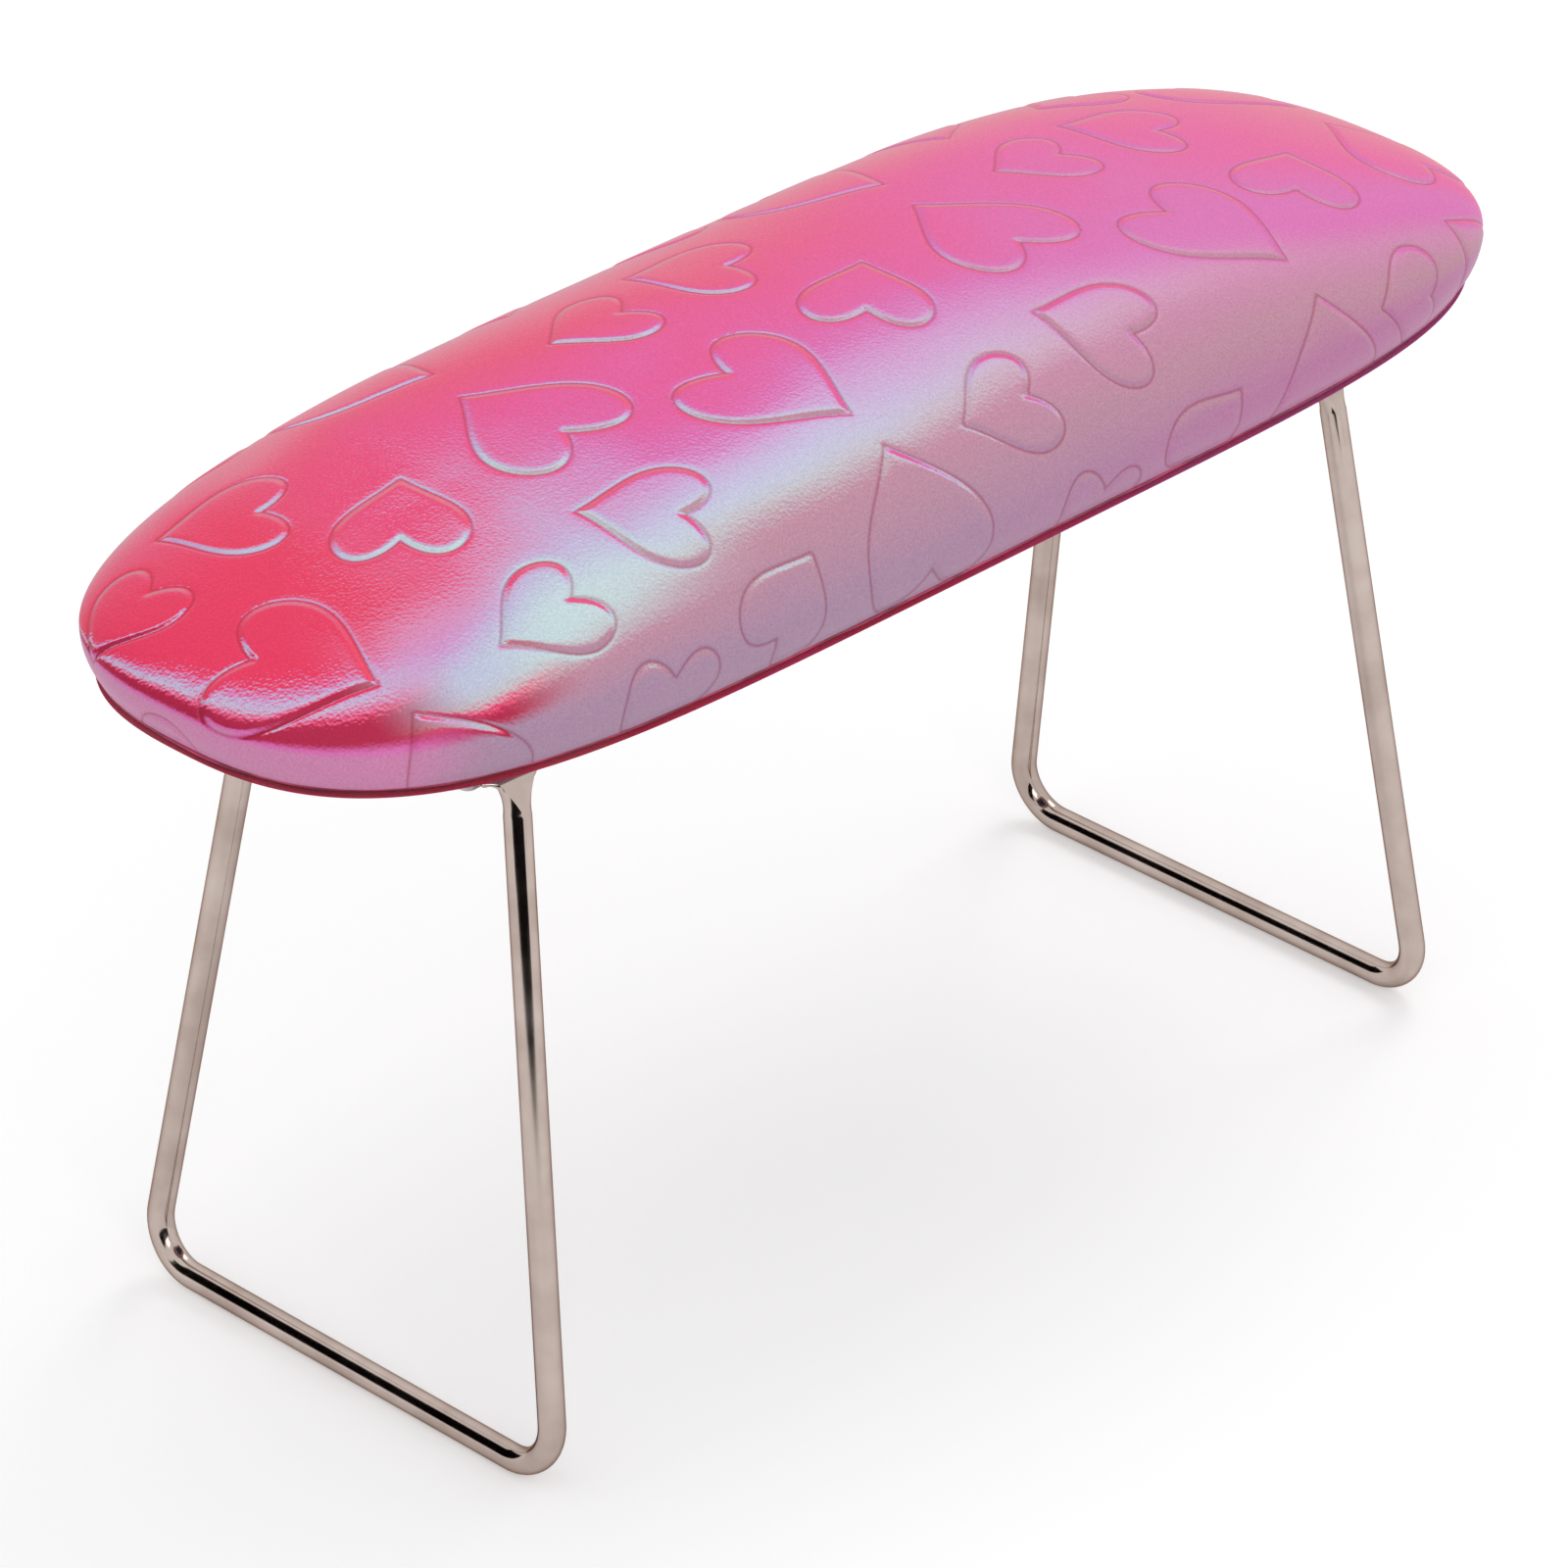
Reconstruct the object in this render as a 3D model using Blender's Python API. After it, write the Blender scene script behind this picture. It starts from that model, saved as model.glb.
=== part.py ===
"""Manicure hand rest: a domed, film-covered pad with debossed hearts on two splayed legs of bent wire.

Metres, +Z up. The origin is on the floor below the middle of the pad, and +X runs along the pad.
"""

from math import atan2, ceil, cos, hypot, pi, radians, sin

import bmesh
import bpy
import numpy as np
from mathutils import Matrix, Vector

# Pad form, measured to the outside of the cover
PAD_LENGTH = 0.3026
PAD_WIDTH = 0.1056
CROWN_RISE = 0.0235
WAIST_HEIGHT = 0.1476
PLAN_SQUARE_ENDS = 5.0
PLAN_ROUND_SIDES = 2.58
CROWN_FALL_TO_ENDS = 1.8
CROWN_FULLNESS = 1.7
RIM_DROP = 0.0066
RIM_TUCK = 0.0022
RIDGE_END_SETBACK = 0.0533

# Cover, welt, board and lining
FILM_THICKNESS = 0.0013
WELT_DIAMETER = 0.0014
UNDERSIDE_SLOPE_RUN = 0.0163
TURN_IN_WIDTH = 0.0085
BOARD_INSET = 0.0204
BOARD_THICKNESS = 0.008
SKIRT_DEPTH = 0.004
LINING_INSET = 0.0238
LINING_THICKNESS = 0.0006

# Debossed hearts
GROOVE_HALF_WIDTH = 0.0011
GROOVE_DEPTH = 0.0009
PATTERN_LENGTH = 0.1055
PATTERN_DRIFT = -0.0055
PATTERN_BEND = -0.0015
LARGE = 0.0225
MEDIUM = 0.0176
SMALL = 0.0154
HEART_FULLNESS = 1.32

# Legs
WIRE_DIAMETER = 0.0049
WIRE_SIDES = 12
LEG_TOP_END_SETBACK = 0.0489
LEG_TOP_SIDE_SETBACK = 0.0222
LEG_LEAN_IN = 0.162
LEG_SPLAY = 0.089
FOOT_BEND_RADIUS = 0.009
TAB_BEND_RADIUS = 0.0024
TAB_WIDTH = 0.0104
TAB_THICKNESS = 0.0015
TAB_LENGTH = 0.0165
PRESSED_RUN = 0.0055

# Mounting plates and screws
WAIST_TO_PLATE_FACE = 0.0216
PLATE_WIDTH = 0.0148
PLATE_END_SETBACK = 0.0038
PLATE_THICKNESS = 0.0015
PLATE_CORNER = 0.0018
SCREW_DIAMETER = 0.0030
SCREW_HEAD_DIAMETER = 0.0058
SCREW_HEAD_HEIGHT = 0.0017
SCREW_LENGTH = 0.0085
SCREW_DRIVE_WIDTH = 0.0009
SCREW_DRIVE_LENGTH = 0.0032
SCREW_DRIVE_DEPTH = 0.0009
SCREW_FOLD_SETBACK = 0.0121

GAP = 0.0003

# Levels that follow from the sizes above
WIRE_RADIUS = WIRE_DIAMETER / 2
BAR_HEIGHT = WIRE_RADIUS * cos(pi / WIRE_SIDES)
RIDGE_HALF_LENGTH = PAD_LENGTH / 2 - RIDGE_END_SETBACK
PLATE_BOTTOM = WAIST_HEIGHT - WAIST_TO_PLATE_FACE
PLATE_TOP = PLATE_BOTTOM + PLATE_THICKNESS
LINING_BOTTOM = PLATE_TOP + GAP
TURN_IN_BOTTOM = LINING_BOTTOM + LINING_THICKNESS + GAP
BOARD_BOTTOM = TURN_IN_BOTTOM + FILM_THICKNESS + GAP
BOARD_TOP = BOARD_BOTTOM + BOARD_THICKNESS
RIM_HEIGHT = WAIST_HEIGHT - RIM_DROP
WELT_HEIGHT = RIM_HEIGHT - GAP - WELT_DIAMETER / 2
UNDER_TOP = WELT_HEIGHT - WELT_DIAMETER / 2 - GAP
TAB_HEIGHT = PLATE_BOTTOM - GAP - TAB_THICKNESS / 2
LEG_TOP_X = PAD_LENGTH / 2 - LEG_TOP_END_SETBACK
LEG_TOP_Y = PAD_WIDTH / 2 - LEG_TOP_SIDE_SETBACK
FOOT_X = LEG_TOP_X + LEG_SPLAY * (TAB_HEIGHT - BAR_HEIGHT)
FOOT_Y = LEG_TOP_Y + LEG_LEAN_IN * (TAB_HEIGHT - BAR_HEIGHT)
PLATE_LENGTH = 2 * (LEG_TOP_Y - PLATE_END_SETBACK)
OUTER_SCREW_Y = LEG_TOP_Y - SCREW_FOLD_SETBACK
INNER_SCREW_Y = OUTER_SCREW_Y / 3

# One repeat of the pattern. Each heart: its place along the pad and round it from the ridge, as shares of the
# repeat, then its size and its turn in degrees. A turn of 0 points the notch towards +X, and 90 towards +Y.
HEARTS = (
    (-0.273, -0.209, LARGE, 112),
    (-0.626, 0.064, LARGE, -83),
    (-0.927, 0.009, MEDIUM, -134),
    (-0.355, 0.175, SMALL, -4),
    (-0.104, 0.216, MEDIUM, -42),
    (-0.697, -0.270, MEDIUM, -43),
    (-0.981, -0.349, SMALL, 0),
    (-0.237, -0.495, LARGE, -93),
    (-0.536, -0.536, SMALL, -140),
    (-0.834, -0.630, SMALL, 75),
    (-0.654, 0.365, LARGE, 118),
    (-0.332, 0.445, MEDIUM, 80),
    (-0.986, 0.493, SMALL, 15),
)


def plan_reach(base_x, turn, half_length, half_width):
    """How far the plan outline lies from (base_x, 0) in the direction of turn."""
    near, far = 0.0, half_length
    for _ in range(40):
        reach = (near + far) / 2
        x = abs(base_x + reach * cos(turn)) / half_length
        y = abs(reach * sin(turn)) / half_width
        if x**PLAN_SQUARE_ENDS + y**PLAN_ROUND_SIDES < 1:
            near = reach
        else:
            far = reach
    return near


def crown_height(x, y, half_length, half_width, rise):
    """Height of the dome above its waist, for arrays of x and y on or inside the plan outline."""
    low = np.full(np.shape(x), 1e-9)
    high = np.ones(np.shape(x))
    for _ in range(40):
        level = (low + high) / 2
        along = np.abs(x) / (half_length * level ** (1 / CROWN_FALL_TO_ENDS))
        across = np.abs(y) / (half_width * level ** (1 / PLAN_ROUND_SIDES))
        outside = along**PLAN_SQUARE_ENDS + across**PLAN_ROUND_SIDES > 1
        low = np.where(outside, level, low)
        high = np.where(outside, high, level)
    return rise * (1 - high) ** (1 / CROWN_FULLNESS)


class Dome:
    """The pad's form at a depth below the outside of the cover, with lines run over it from the ridge."""

    def __init__(self, depth):
        self.half_length = PAD_LENGTH / 2 - depth
        self.half_width = PAD_WIDTH / 2 - depth
        self.rise = CROWN_RISE - depth

    def profile(self, base_x, turn, samples=120):
        """Points from the ridge to the waist in the direction of turn, and the surface length to each."""
        reach = plan_reach(base_x, turn, self.half_length, self.half_width)
        out = reach * np.sin(np.linspace(0, pi / 2, samples))
        x = base_x + out * cos(turn)
        y = out * sin(turn)
        z = WAIST_HEIGHT + crown_height(x, y, self.half_length, self.half_width, self.rise)
        z[-1] = WAIST_HEIGHT
        points = np.stack([x, y, z], 1)
        steps = np.linalg.norm(np.diff(points, axis=0), axis=1)
        return points, np.concatenate([[0], np.cumsum(steps)])

    def line(self, base_x, turn, count):
        """count + 1 points at even spacing from the ridge to the waist."""
        points, run = self.profile(base_x, turn)
        wanted = np.linspace(0, run[-1], count + 1)
        return [Vector([np.interp(w, run, points[:, axis]) for axis in range(3)]) for w in wanted]

    def place(self, along, around):
        """The point that lies along and around on the unwrapped cover, or None close to its lower edge."""
        base_x = max(-RIDGE_HALF_LENGTH, min(RIDGE_HALF_LENGTH, along))
        distance = hypot(along - base_x, around)
        turn = atan2(around, along - base_x)
        points, run = self.profile(base_x, turn)
        below = max(0, distance - run[-1])
        if below > RIM_DROP - 2 * GROOVE_HALF_WIDTH:
            return None
        point = Vector([np.interp(distance, run, points[:, axis]) for axis in range(3)])
        tuck = RIM_TUCK * (below / RIM_DROP) ** 2
        return point - Vector((cos(turn) * tuck, sin(turn) * tuck, below))

    def outward(self, along, around):
        """Unit normal at the place that lies along and around, from its neighbours nearer the ridge's middle."""
        step = GROOVE_HALF_WIDTH / 3
        to_middle = -step if along > 0 else step
        to_ridge = -step if around > 0 else step
        here = self.place(along, around)
        across = (self.place(along + to_middle, around) - here).cross(self.place(along, around + to_ridge) - here)
        return across.normalized() * (1 if to_middle * to_ridge > 0 else -1)


def ridge_rays(side_steps, end_steps):
    """Base point and direction of each line that runs from the ridge to the waist, once round the pad."""
    rays = []
    for end, start_turn in ((1, -pi / 2), (-1, pi / 2)):
        for step in range(end_steps):
            rays.append((end * RIDGE_HALF_LENGTH, start_turn + pi * step / end_steps))
        for step in range(side_steps):
            base = end * RIDGE_HALF_LENGTH * (1 - 2 * step / side_steps)
            rays.append((base, start_turn + pi))
    return rays


def plan_ring(inset, height, rays):
    """A closed outline of the plan, inset from the pad's widest line, at a height."""
    half_length = PAD_LENGTH / 2 - inset
    half_width = PAD_WIDTH / 2 - inset
    ring = []
    for base_x, turn in rays:
        base = base_x * half_length / (PAD_LENGTH / 2)
        reach = plan_reach(base, turn, half_length, half_width)
        ring.append(Vector((base + reach * cos(turn), reach * sin(turn), height)))
    return ring


def material(name, colour, roughness, metallic=0.0):
    made = bpy.data.materials.new(name)
    made.use_nodes = True
    shader = made.node_tree.nodes["Principled BSDF"]
    shader.inputs["Base Color"].default_value = (*colour, 1)
    shader.inputs["Roughness"].default_value = roughness
    shader.inputs["Metallic"].default_value = metallic
    return made


def finish(name, mesh_builder, surface, smooth_angle=35):
    """Turns a bmesh into a named object with its faces pointing out, shaded smooth but for sharp edges."""
    bmesh.ops.recalc_face_normals(mesh_builder, faces=mesh_builder.faces)
    mesh = bpy.data.meshes.new(name)
    mesh_builder.to_mesh(mesh)
    mesh_builder.free()
    mesh.materials.append(surface)
    mesh.shade_smooth()
    mesh.set_sharp_from_angle(angle=radians(smooth_angle))
    made = bpy.data.objects.new(name, mesh)
    bpy.context.collection.objects.link(made)
    return made


def join_rings(builder, rings, closed=False):
    """Skins rings of equal count with quads, and caps the first and last unless the stack is closed."""
    stacks = [[builder.verts.new(point) for point in ring] for ring in rings]
    pairs = list(zip(stacks, stacks[1:]))
    if closed:
        pairs.append((stacks[-1], stacks[0]))
    for lower, upper in pairs:
        for i in range(len(lower)):
            j = (i + 1) % len(lower)
            builder.faces.new((lower[i], lower[j], upper[j], upper[i]))
    if not closed:
        builder.faces.new(stacks[0])
        builder.faces.new(stacks[-1])


def dome_shell(builder, dome, rays, steps, side_steps):
    """Skins the dome from its ridge to the waist and returns the waist's vertices in order."""
    ridge = {}
    waist = []
    columns = []
    for base_x, turn in rays:
        line = dome.line(base_x, turn, steps)
        key = round(base_x / (2 * RIDGE_HALF_LENGTH / side_steps), 3)
        if key not in ridge:
            ridge[key] = builder.verts.new(line[0])
        columns.append([ridge[key]] + [builder.verts.new(point) for point in line[1:]])
        waist.append(columns[-1][-1])
    for i, left in enumerate(columns):
        right = columns[(i + 1) % len(columns)]
        for j in range(steps):
            corners = [left[j], left[j + 1], right[j + 1], right[j]]
            if left[j] is right[j]:
                corners.pop()
            builder.faces.new(corners)
    return waist


def add_cutter(target, cutter):
    """Takes the cutter out of the target with a Boolean modifier, and hides the cutter."""
    cutter.hide_render = True
    cutter.display_type = "WIRE"
    cut = target.modifiers.new("cut_" + cutter.name, "BOOLEAN")
    cut.operation = "DIFFERENCE"
    cut.solver = "EXACT"
    cut.use_self = True
    cut.object = cutter


def dome_body(name, depth, skirt, surface, steps, side_steps, end_steps):
    """A closed body: the dome at a depth, continued below the waist by rings of (inset, height)."""
    builder = bmesh.new()
    rays = ridge_rays(side_steps, end_steps)
    waist = dome_shell(builder, Dome(depth), rays, steps, side_steps)
    upper = waist
    for inset, height in skirt:
        lower = [builder.verts.new(point) for point in plan_ring(inset, height, rays)]
        for i in range(len(upper)):
            j = (i + 1) % len(upper)
            builder.faces.new((upper[i], lower[i], lower[j], upper[j]))
        upper = lower
    builder.faces.new(upper)
    return finish(name, builder, surface)


def heart_point(turn, size):
    """A point on a heart whose tip is at -X and notch at +X, size apart, with their middle at the origin."""
    along = 12.2 * cos(turn) - 4.3 * cos(2 * turn) - 1.7 * cos(3 * turn) - 0.9 * cos(4 * turn)
    across = abs(sin(turn)) ** 2.15 * (1 if sin(turn) > 0 else -1)
    return (along + 5.2) / 21 * size, across * HEART_FULLNESS / 2 * size


def heart_path(dome, heart, shift):
    """The heart's outline on the unwrapped cover as runs of places, each run ending where the cover does."""
    along, around, size, turn = heart
    turn = radians(turn)
    count = {LARGE: 16, MEDIUM: 14, SMALL: 12}[size]
    bend = shift * shift * PATTERN_BEND
    runs = [[]]
    for step in range(count + 1):
        x, y = heart_point(2 * pi * step / count, size)
        u = (along + shift) * PATTERN_LENGTH + bend + x * cos(turn) - y * sin(turn)
        v = around * PATTERN_LENGTH + shift * PATTERN_DRIFT + bend + x * sin(turn) + y * cos(turn)
        if dome.place(u, v) is not None:
            runs[-1].append((u, v))
        elif runs[-1]:
            runs.append([])
    if len(runs) > 1 and runs[-1]:
        runs[0] = runs.pop() + runs[0][1:]
    return [run for run in runs if len(run) > 4]


def groove(builder, dome, run):
    """Sweeps a V along a run of places on the dome, so that it cuts GROOVE_DEPTH into the cover."""
    closed = hypot(run[0][0] - run[-1][0], run[0][1] - run[-1][1]) < 1e-6
    places = run[:-1] if closed else run
    points = [dome.place(*place) for place in places]
    rings = []
    for i, point in enumerate(points):
        after = points[(i + 1) % len(points)] if closed else points[min(i + 1, len(points) - 1)]
        before = points[i - 1] if closed else points[max(i - 1, 0)]
        outward = dome.outward(*places[i])
        side = (after - before).cross(outward).normalized() * GROOVE_HALF_WIDTH * 2
        lift = outward * GROOVE_DEPTH
        rings.append((point - lift, point + side + lift, point - side + lift))
    join_rings(builder, rings, closed)


def heart_grooves():
    """One cutter that holds the groove of every heart on the cover."""
    builder = bmesh.new()
    dome = Dome(0)
    repeats = ceil(PAD_LENGTH / PATTERN_LENGTH / 2)
    for shift in range(-repeats, repeats + 2):
        for heart in HEARTS:
            for run in heart_path(dome, heart, shift):
                groove(builder, dome, run)
    return finish("heart_grooves", builder, material("cutter", (0.5, 0.5, 0.5), 0.5))


def top_cover(film):
    rim = ((RIM_TUCK * 0.3, WAIST_HEIGHT - RIM_DROP * 0.5), (RIM_TUCK, RIM_HEIGHT))
    cover = dome_body("top_cover", 0, rim, film, 10, 12, 13)
    inside_rim = (
        (FILM_THICKNESS + RIM_TUCK, RIM_HEIGHT),
        (FILM_THICKNESS + RIM_TUCK, RIM_HEIGHT - RIM_DROP),
    )
    inside = dome_body("cover_inside", FILM_THICKNESS, inside_rim, film, 8, 12, 10)
    add_cutter(cover, inside)
    add_cutter(cover, heart_grooves())
    return cover


def foam_pad(foam):
    """The padding: the cover's inside less a gap, with a skirt that runs down round the board's edge."""
    depth = FILM_THICKNESS + 1.5 * GAP
    slope = UNDERSIDE_SLOPE_RUN / (UNDER_TOP - TURN_IN_BOTTOM)
    skirt_bottom = BOARD_TOP - SKIRT_DEPTH
    skirt = (
        (depth + RIM_TUCK, RIM_HEIGHT),
        (depth + RIM_TUCK * 1.6, UNDER_TOP),
        (depth + RIM_TUCK * 1.6 + slope * (UNDER_TOP - skirt_bottom), skirt_bottom),
        (BOARD_INSET - GAP, skirt_bottom),
        (BOARD_INSET - GAP, BOARD_TOP + GAP),
    )
    return dome_body("foam_pad", depth, skirt, foam, 8, 12, 10)


def rim_welt(film):
    """The thin turned edge that shows as a dark line all round the rim."""
    builder = bmesh.new()
    rays = ridge_rays(12, 10)
    sides = 6
    rings = []
    for step in range(sides):
        turn = 2 * pi * step / sides
        inset = RIM_TUCK + WELT_DIAMETER * 0.35 + cos(turn) * WELT_DIAMETER / 2
        rings.append(plan_ring(inset, WELT_HEIGHT + sin(turn) * WELT_DIAMETER / 2, rays))
    join_rings(builder, rings, closed=True)
    return finish("rim_welt", builder, film, 80)


def under_cover(film):
    """The lower cover: a skin that slopes in from the rim and turns in below the board."""
    builder = bmesh.new()
    rays = ridge_rays(12, 10)
    slope_end = RIM_TUCK + UNDERSIDE_SLOPE_RUN
    middle = (UNDER_TOP + TURN_IN_BOTTOM) / 2
    sag = 0.0016
    outer = [
        (RIM_TUCK, UNDER_TOP),
        (RIM_TUCK + UNDERSIDE_SLOPE_RUN / 2 - sag, middle - sag),
        (slope_end, TURN_IN_BOTTOM),
        (slope_end + TURN_IN_WIDTH, TURN_IN_BOTTOM),
    ]
    inner = [
        (slope_end + TURN_IN_WIDTH, TURN_IN_BOTTOM + FILM_THICKNESS),
        (slope_end + FILM_THICKNESS * 0.6, TURN_IN_BOTTOM + FILM_THICKNESS),
        (RIM_TUCK + UNDERSIDE_SLOPE_RUN / 2 - sag + FILM_THICKNESS * 0.8, middle - sag + FILM_THICKNESS * 0.8),
        (RIM_TUCK + FILM_THICKNESS, UNDER_TOP),
    ]
    join_rings(builder, [plan_ring(inset, height, rays) for inset, height in outer + inner], closed=True)
    return finish("under_cover", builder, film)


def screw_places():
    """World place of each screw's axis, with the height of the face that its head meets."""
    places = []
    for side, end in (("left", -1), ("right", 1)):
        for y, seat in (
            (-OUTER_SCREW_Y, TAB_HEIGHT - TAB_THICKNESS / 2),
            (-INNER_SCREW_Y, PLATE_BOTTOM),
            (INNER_SCREW_Y, PLATE_BOTTOM),
            (OUTER_SCREW_Y, TAB_HEIGHT - TAB_THICKNESS / 2),
        ):
            places.append((side, Vector((end * LEG_TOP_X, y, 0)), seat))
    return places


def drill(target, name, places, radius, low, high):
    """Takes one round hole for each place out of the target."""
    builder = bmesh.new()
    for place in places:
        centre = Matrix.Translation((place.x, place.y, (low + high) / 2))
        bmesh.ops.create_cone(
            builder, cap_ends=True, segments=8, radius1=radius, radius2=radius, depth=high - low, matrix=centre
        )
    add_cutter(target, finish(name, builder, target.data.materials[0]))


def panel(name, inset, low, high, surface, steps):
    """A flat panel with the pad's plan, inset."""
    builder = bmesh.new()
    rays = ridge_rays(*steps)
    join_rings(builder, [plan_ring(inset, low, rays), plan_ring(inset, high, rays)])
    return finish(name, builder, surface)


def leg_path(end):
    """Centreline of one leg from tab to tab as (point, share of the pressed form), with arcs at its bends."""
    tab_start = Vector((end * LEG_TOP_X, LEG_TOP_Y - TAB_LENGTH, TAB_HEIGHT))
    fold = Vector((end * LEG_TOP_X, LEG_TOP_Y, TAB_HEIGHT))
    foot = Vector((end * FOOT_X, FOOT_Y, BAR_HEIGHT))
    down = (foot - fold).normalized()
    half = [(tab_start, 1.0)]
    half += [(point, 1.0) for point in arc(tab_start, fold, foot, TAB_BEND_RADIUS, 3)]
    fold_end = half[-1][0]
    press_steps = 3
    for step in range(1, press_steps + 1):
        share = step / press_steps
        half.append((fold_end + down * PRESSED_RUN * share, 1 - share))
    across = Vector((foot.x, -foot.y, foot.z))
    half += [(point, 0.0) for point in arc(fold, foot, across, FOOT_BEND_RADIUS, 6)]
    mirrored = [(Vector((point.x, -point.y, point.z)), share) for point, share in reversed(half)]
    return half + mirrored


def arc(before, corner, after, radius, steps):
    """Points of a round bend of the given radius between two straight runs."""
    into = (corner - before).normalized()
    out = (after - corner).normalized()
    turn = into.angle(out)
    setback = radius * np.tan(turn / 2)
    start = corner - into * setback
    inward = (out - into * into.dot(out)).normalized()
    centre = start + inward * radius
    return [
        centre - inward * radius * cos(turn * step / steps) + into * radius * sin(turn * step / steps)
        for step in range(steps + 1)
    ]


def wire_section(centre, tangent, pressed):
    """Ring of a wire that is round at pressed 0 and a flat tab at 1, with one facet square to its thin way."""
    side = (Vector((1, 0, 0)) - tangent * tangent.x).normalized()
    thin = tangent.cross(side)
    half_side = WIRE_RADIUS + (TAB_WIDTH / 2 - WIRE_RADIUS) * pressed
    half_thin = WIRE_RADIUS + (TAB_THICKNESS / 2 / cos(pi / WIRE_SIDES) - WIRE_RADIUS) * pressed
    fullness = 1 - 0.62 * pressed
    ring = []
    for step in range(WIRE_SIDES):
        turn = 2 * pi * (step + 0.5) / WIRE_SIDES
        flat = abs(sin(turn)) ** fullness * (1 if sin(turn) > 0 else -1)
        ring.append(centre + side * half_side * cos(turn) + thin * half_thin * flat)
    return ring


def leg_frame(side, end, metal):
    """One leg: a bent wire whose two ends are pressed flat, folded in and pierced for a screw."""
    path = leg_path(end)
    rings = []
    for i, (point, pressed) in enumerate(path):
        before = path[max(i - 1, 0)][0]
        after = path[min(i + 1, len(path) - 1)][0]
        rings.append(wire_section(point, (after - before).normalized(), pressed))
    builder = bmesh.new()
    join_rings(builder, rings)
    leg = finish("leg_frame_" + side, builder, metal, 40)
    holes = [Vector((end * LEG_TOP_X, y, 0)) for y in (-OUTER_SCREW_Y, OUTER_SCREW_Y)]
    radius = SCREW_DIAMETER / 2 + GAP
    drill(leg, "tab_holes_" + side, holes, radius, TAB_HEIGHT - TAB_THICKNESS, TAB_HEIGHT + TAB_THICKNESS)
    return leg


def mounting_plate(side, end, metal):
    """A steel strap with round corners that the tabs of one leg are drawn up against."""
    builder = bmesh.new()
    place = Matrix.Translation((end * LEG_TOP_X, 0, PLATE_BOTTOM + PLATE_THICKNESS / 2))
    size = Matrix.Diagonal((PLATE_WIDTH, PLATE_LENGTH, PLATE_THICKNESS, 1))
    bmesh.ops.create_cube(builder, size=1, matrix=place @ size)
    upright = [edge for edge in builder.edges if abs(edge.verts[0].co.z - edge.verts[1].co.z) > PLATE_THICKNESS / 2]
    bmesh.ops.bevel(builder, geom=upright, offset=PLATE_CORNER, segments=3, affect="EDGES", profile=0.5)
    plate = finish("mounting_plate_" + side, builder, metal)
    holes = [place for name, place, _ in screw_places() if name == side]
    radius = SCREW_DIAMETER / 2 + GAP
    drill(plate, "plate_holes_" + side, holes, radius, PLATE_BOTTOM - GAP, PLATE_TOP + GAP)
    return plate


def plate_screw(number, side, place, seat, metal):
    """A pan-head screw with a cross drive, head down, its shank up through the plate into the board."""
    head_top = seat - GAP
    profile = ((0.66, -SCREW_HEAD_HEIGHT), (1.0, -SCREW_HEAD_HEIGHT * 0.5), (1.0, 0))
    sides = 10
    head = [(share * SCREW_HEAD_DIAMETER / 2, head_top + down) for share, down in profile]
    shank = [(SCREW_DIAMETER / 2, head_top), (SCREW_DIAMETER / 2, head_top + SCREW_LENGTH * 0.8)]
    tip = [(SCREW_DIAMETER * 0.12, head_top + SCREW_LENGTH)]
    rings = []
    for radius, height in head + shank + tip:
        turns = [2 * pi * step / sides for step in range(sides)]
        rings.append([Vector((place.x + radius * cos(t), place.y + radius * sin(t), height)) for t in turns])
    builder = bmesh.new()
    join_rings(builder, rings)
    screw = finish(f"plate_screw_{side}_{number}", builder, metal)
    drive = bmesh.new()
    depth = head_top - SCREW_HEAD_HEIGHT
    cross = cross_outline(SCREW_DRIVE_WIDTH, SCREW_DRIVE_LENGTH)
    rings = [[Vector((place.x + x, place.y + y, z)) for x, y in cross] for z in (depth - GAP, depth + SCREW_DRIVE_DEPTH)]
    join_rings(drive, rings)
    add_cutter(screw, finish(f"drive_{side}_{number}", drive, metal))
    return screw


def cross_outline(width, length):
    """Outline of an upright cross whose arms are as wide and as long as given."""
    w, r = width / 2, length / 2
    quarter = [(r, -w), (r, w), (w, w)]
    corners = []
    for turn in range(4):
        for x, y in quarter:
            for _ in range(turn):
                x, y = -y, x
            corners.append((x, y))
    return corners


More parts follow.
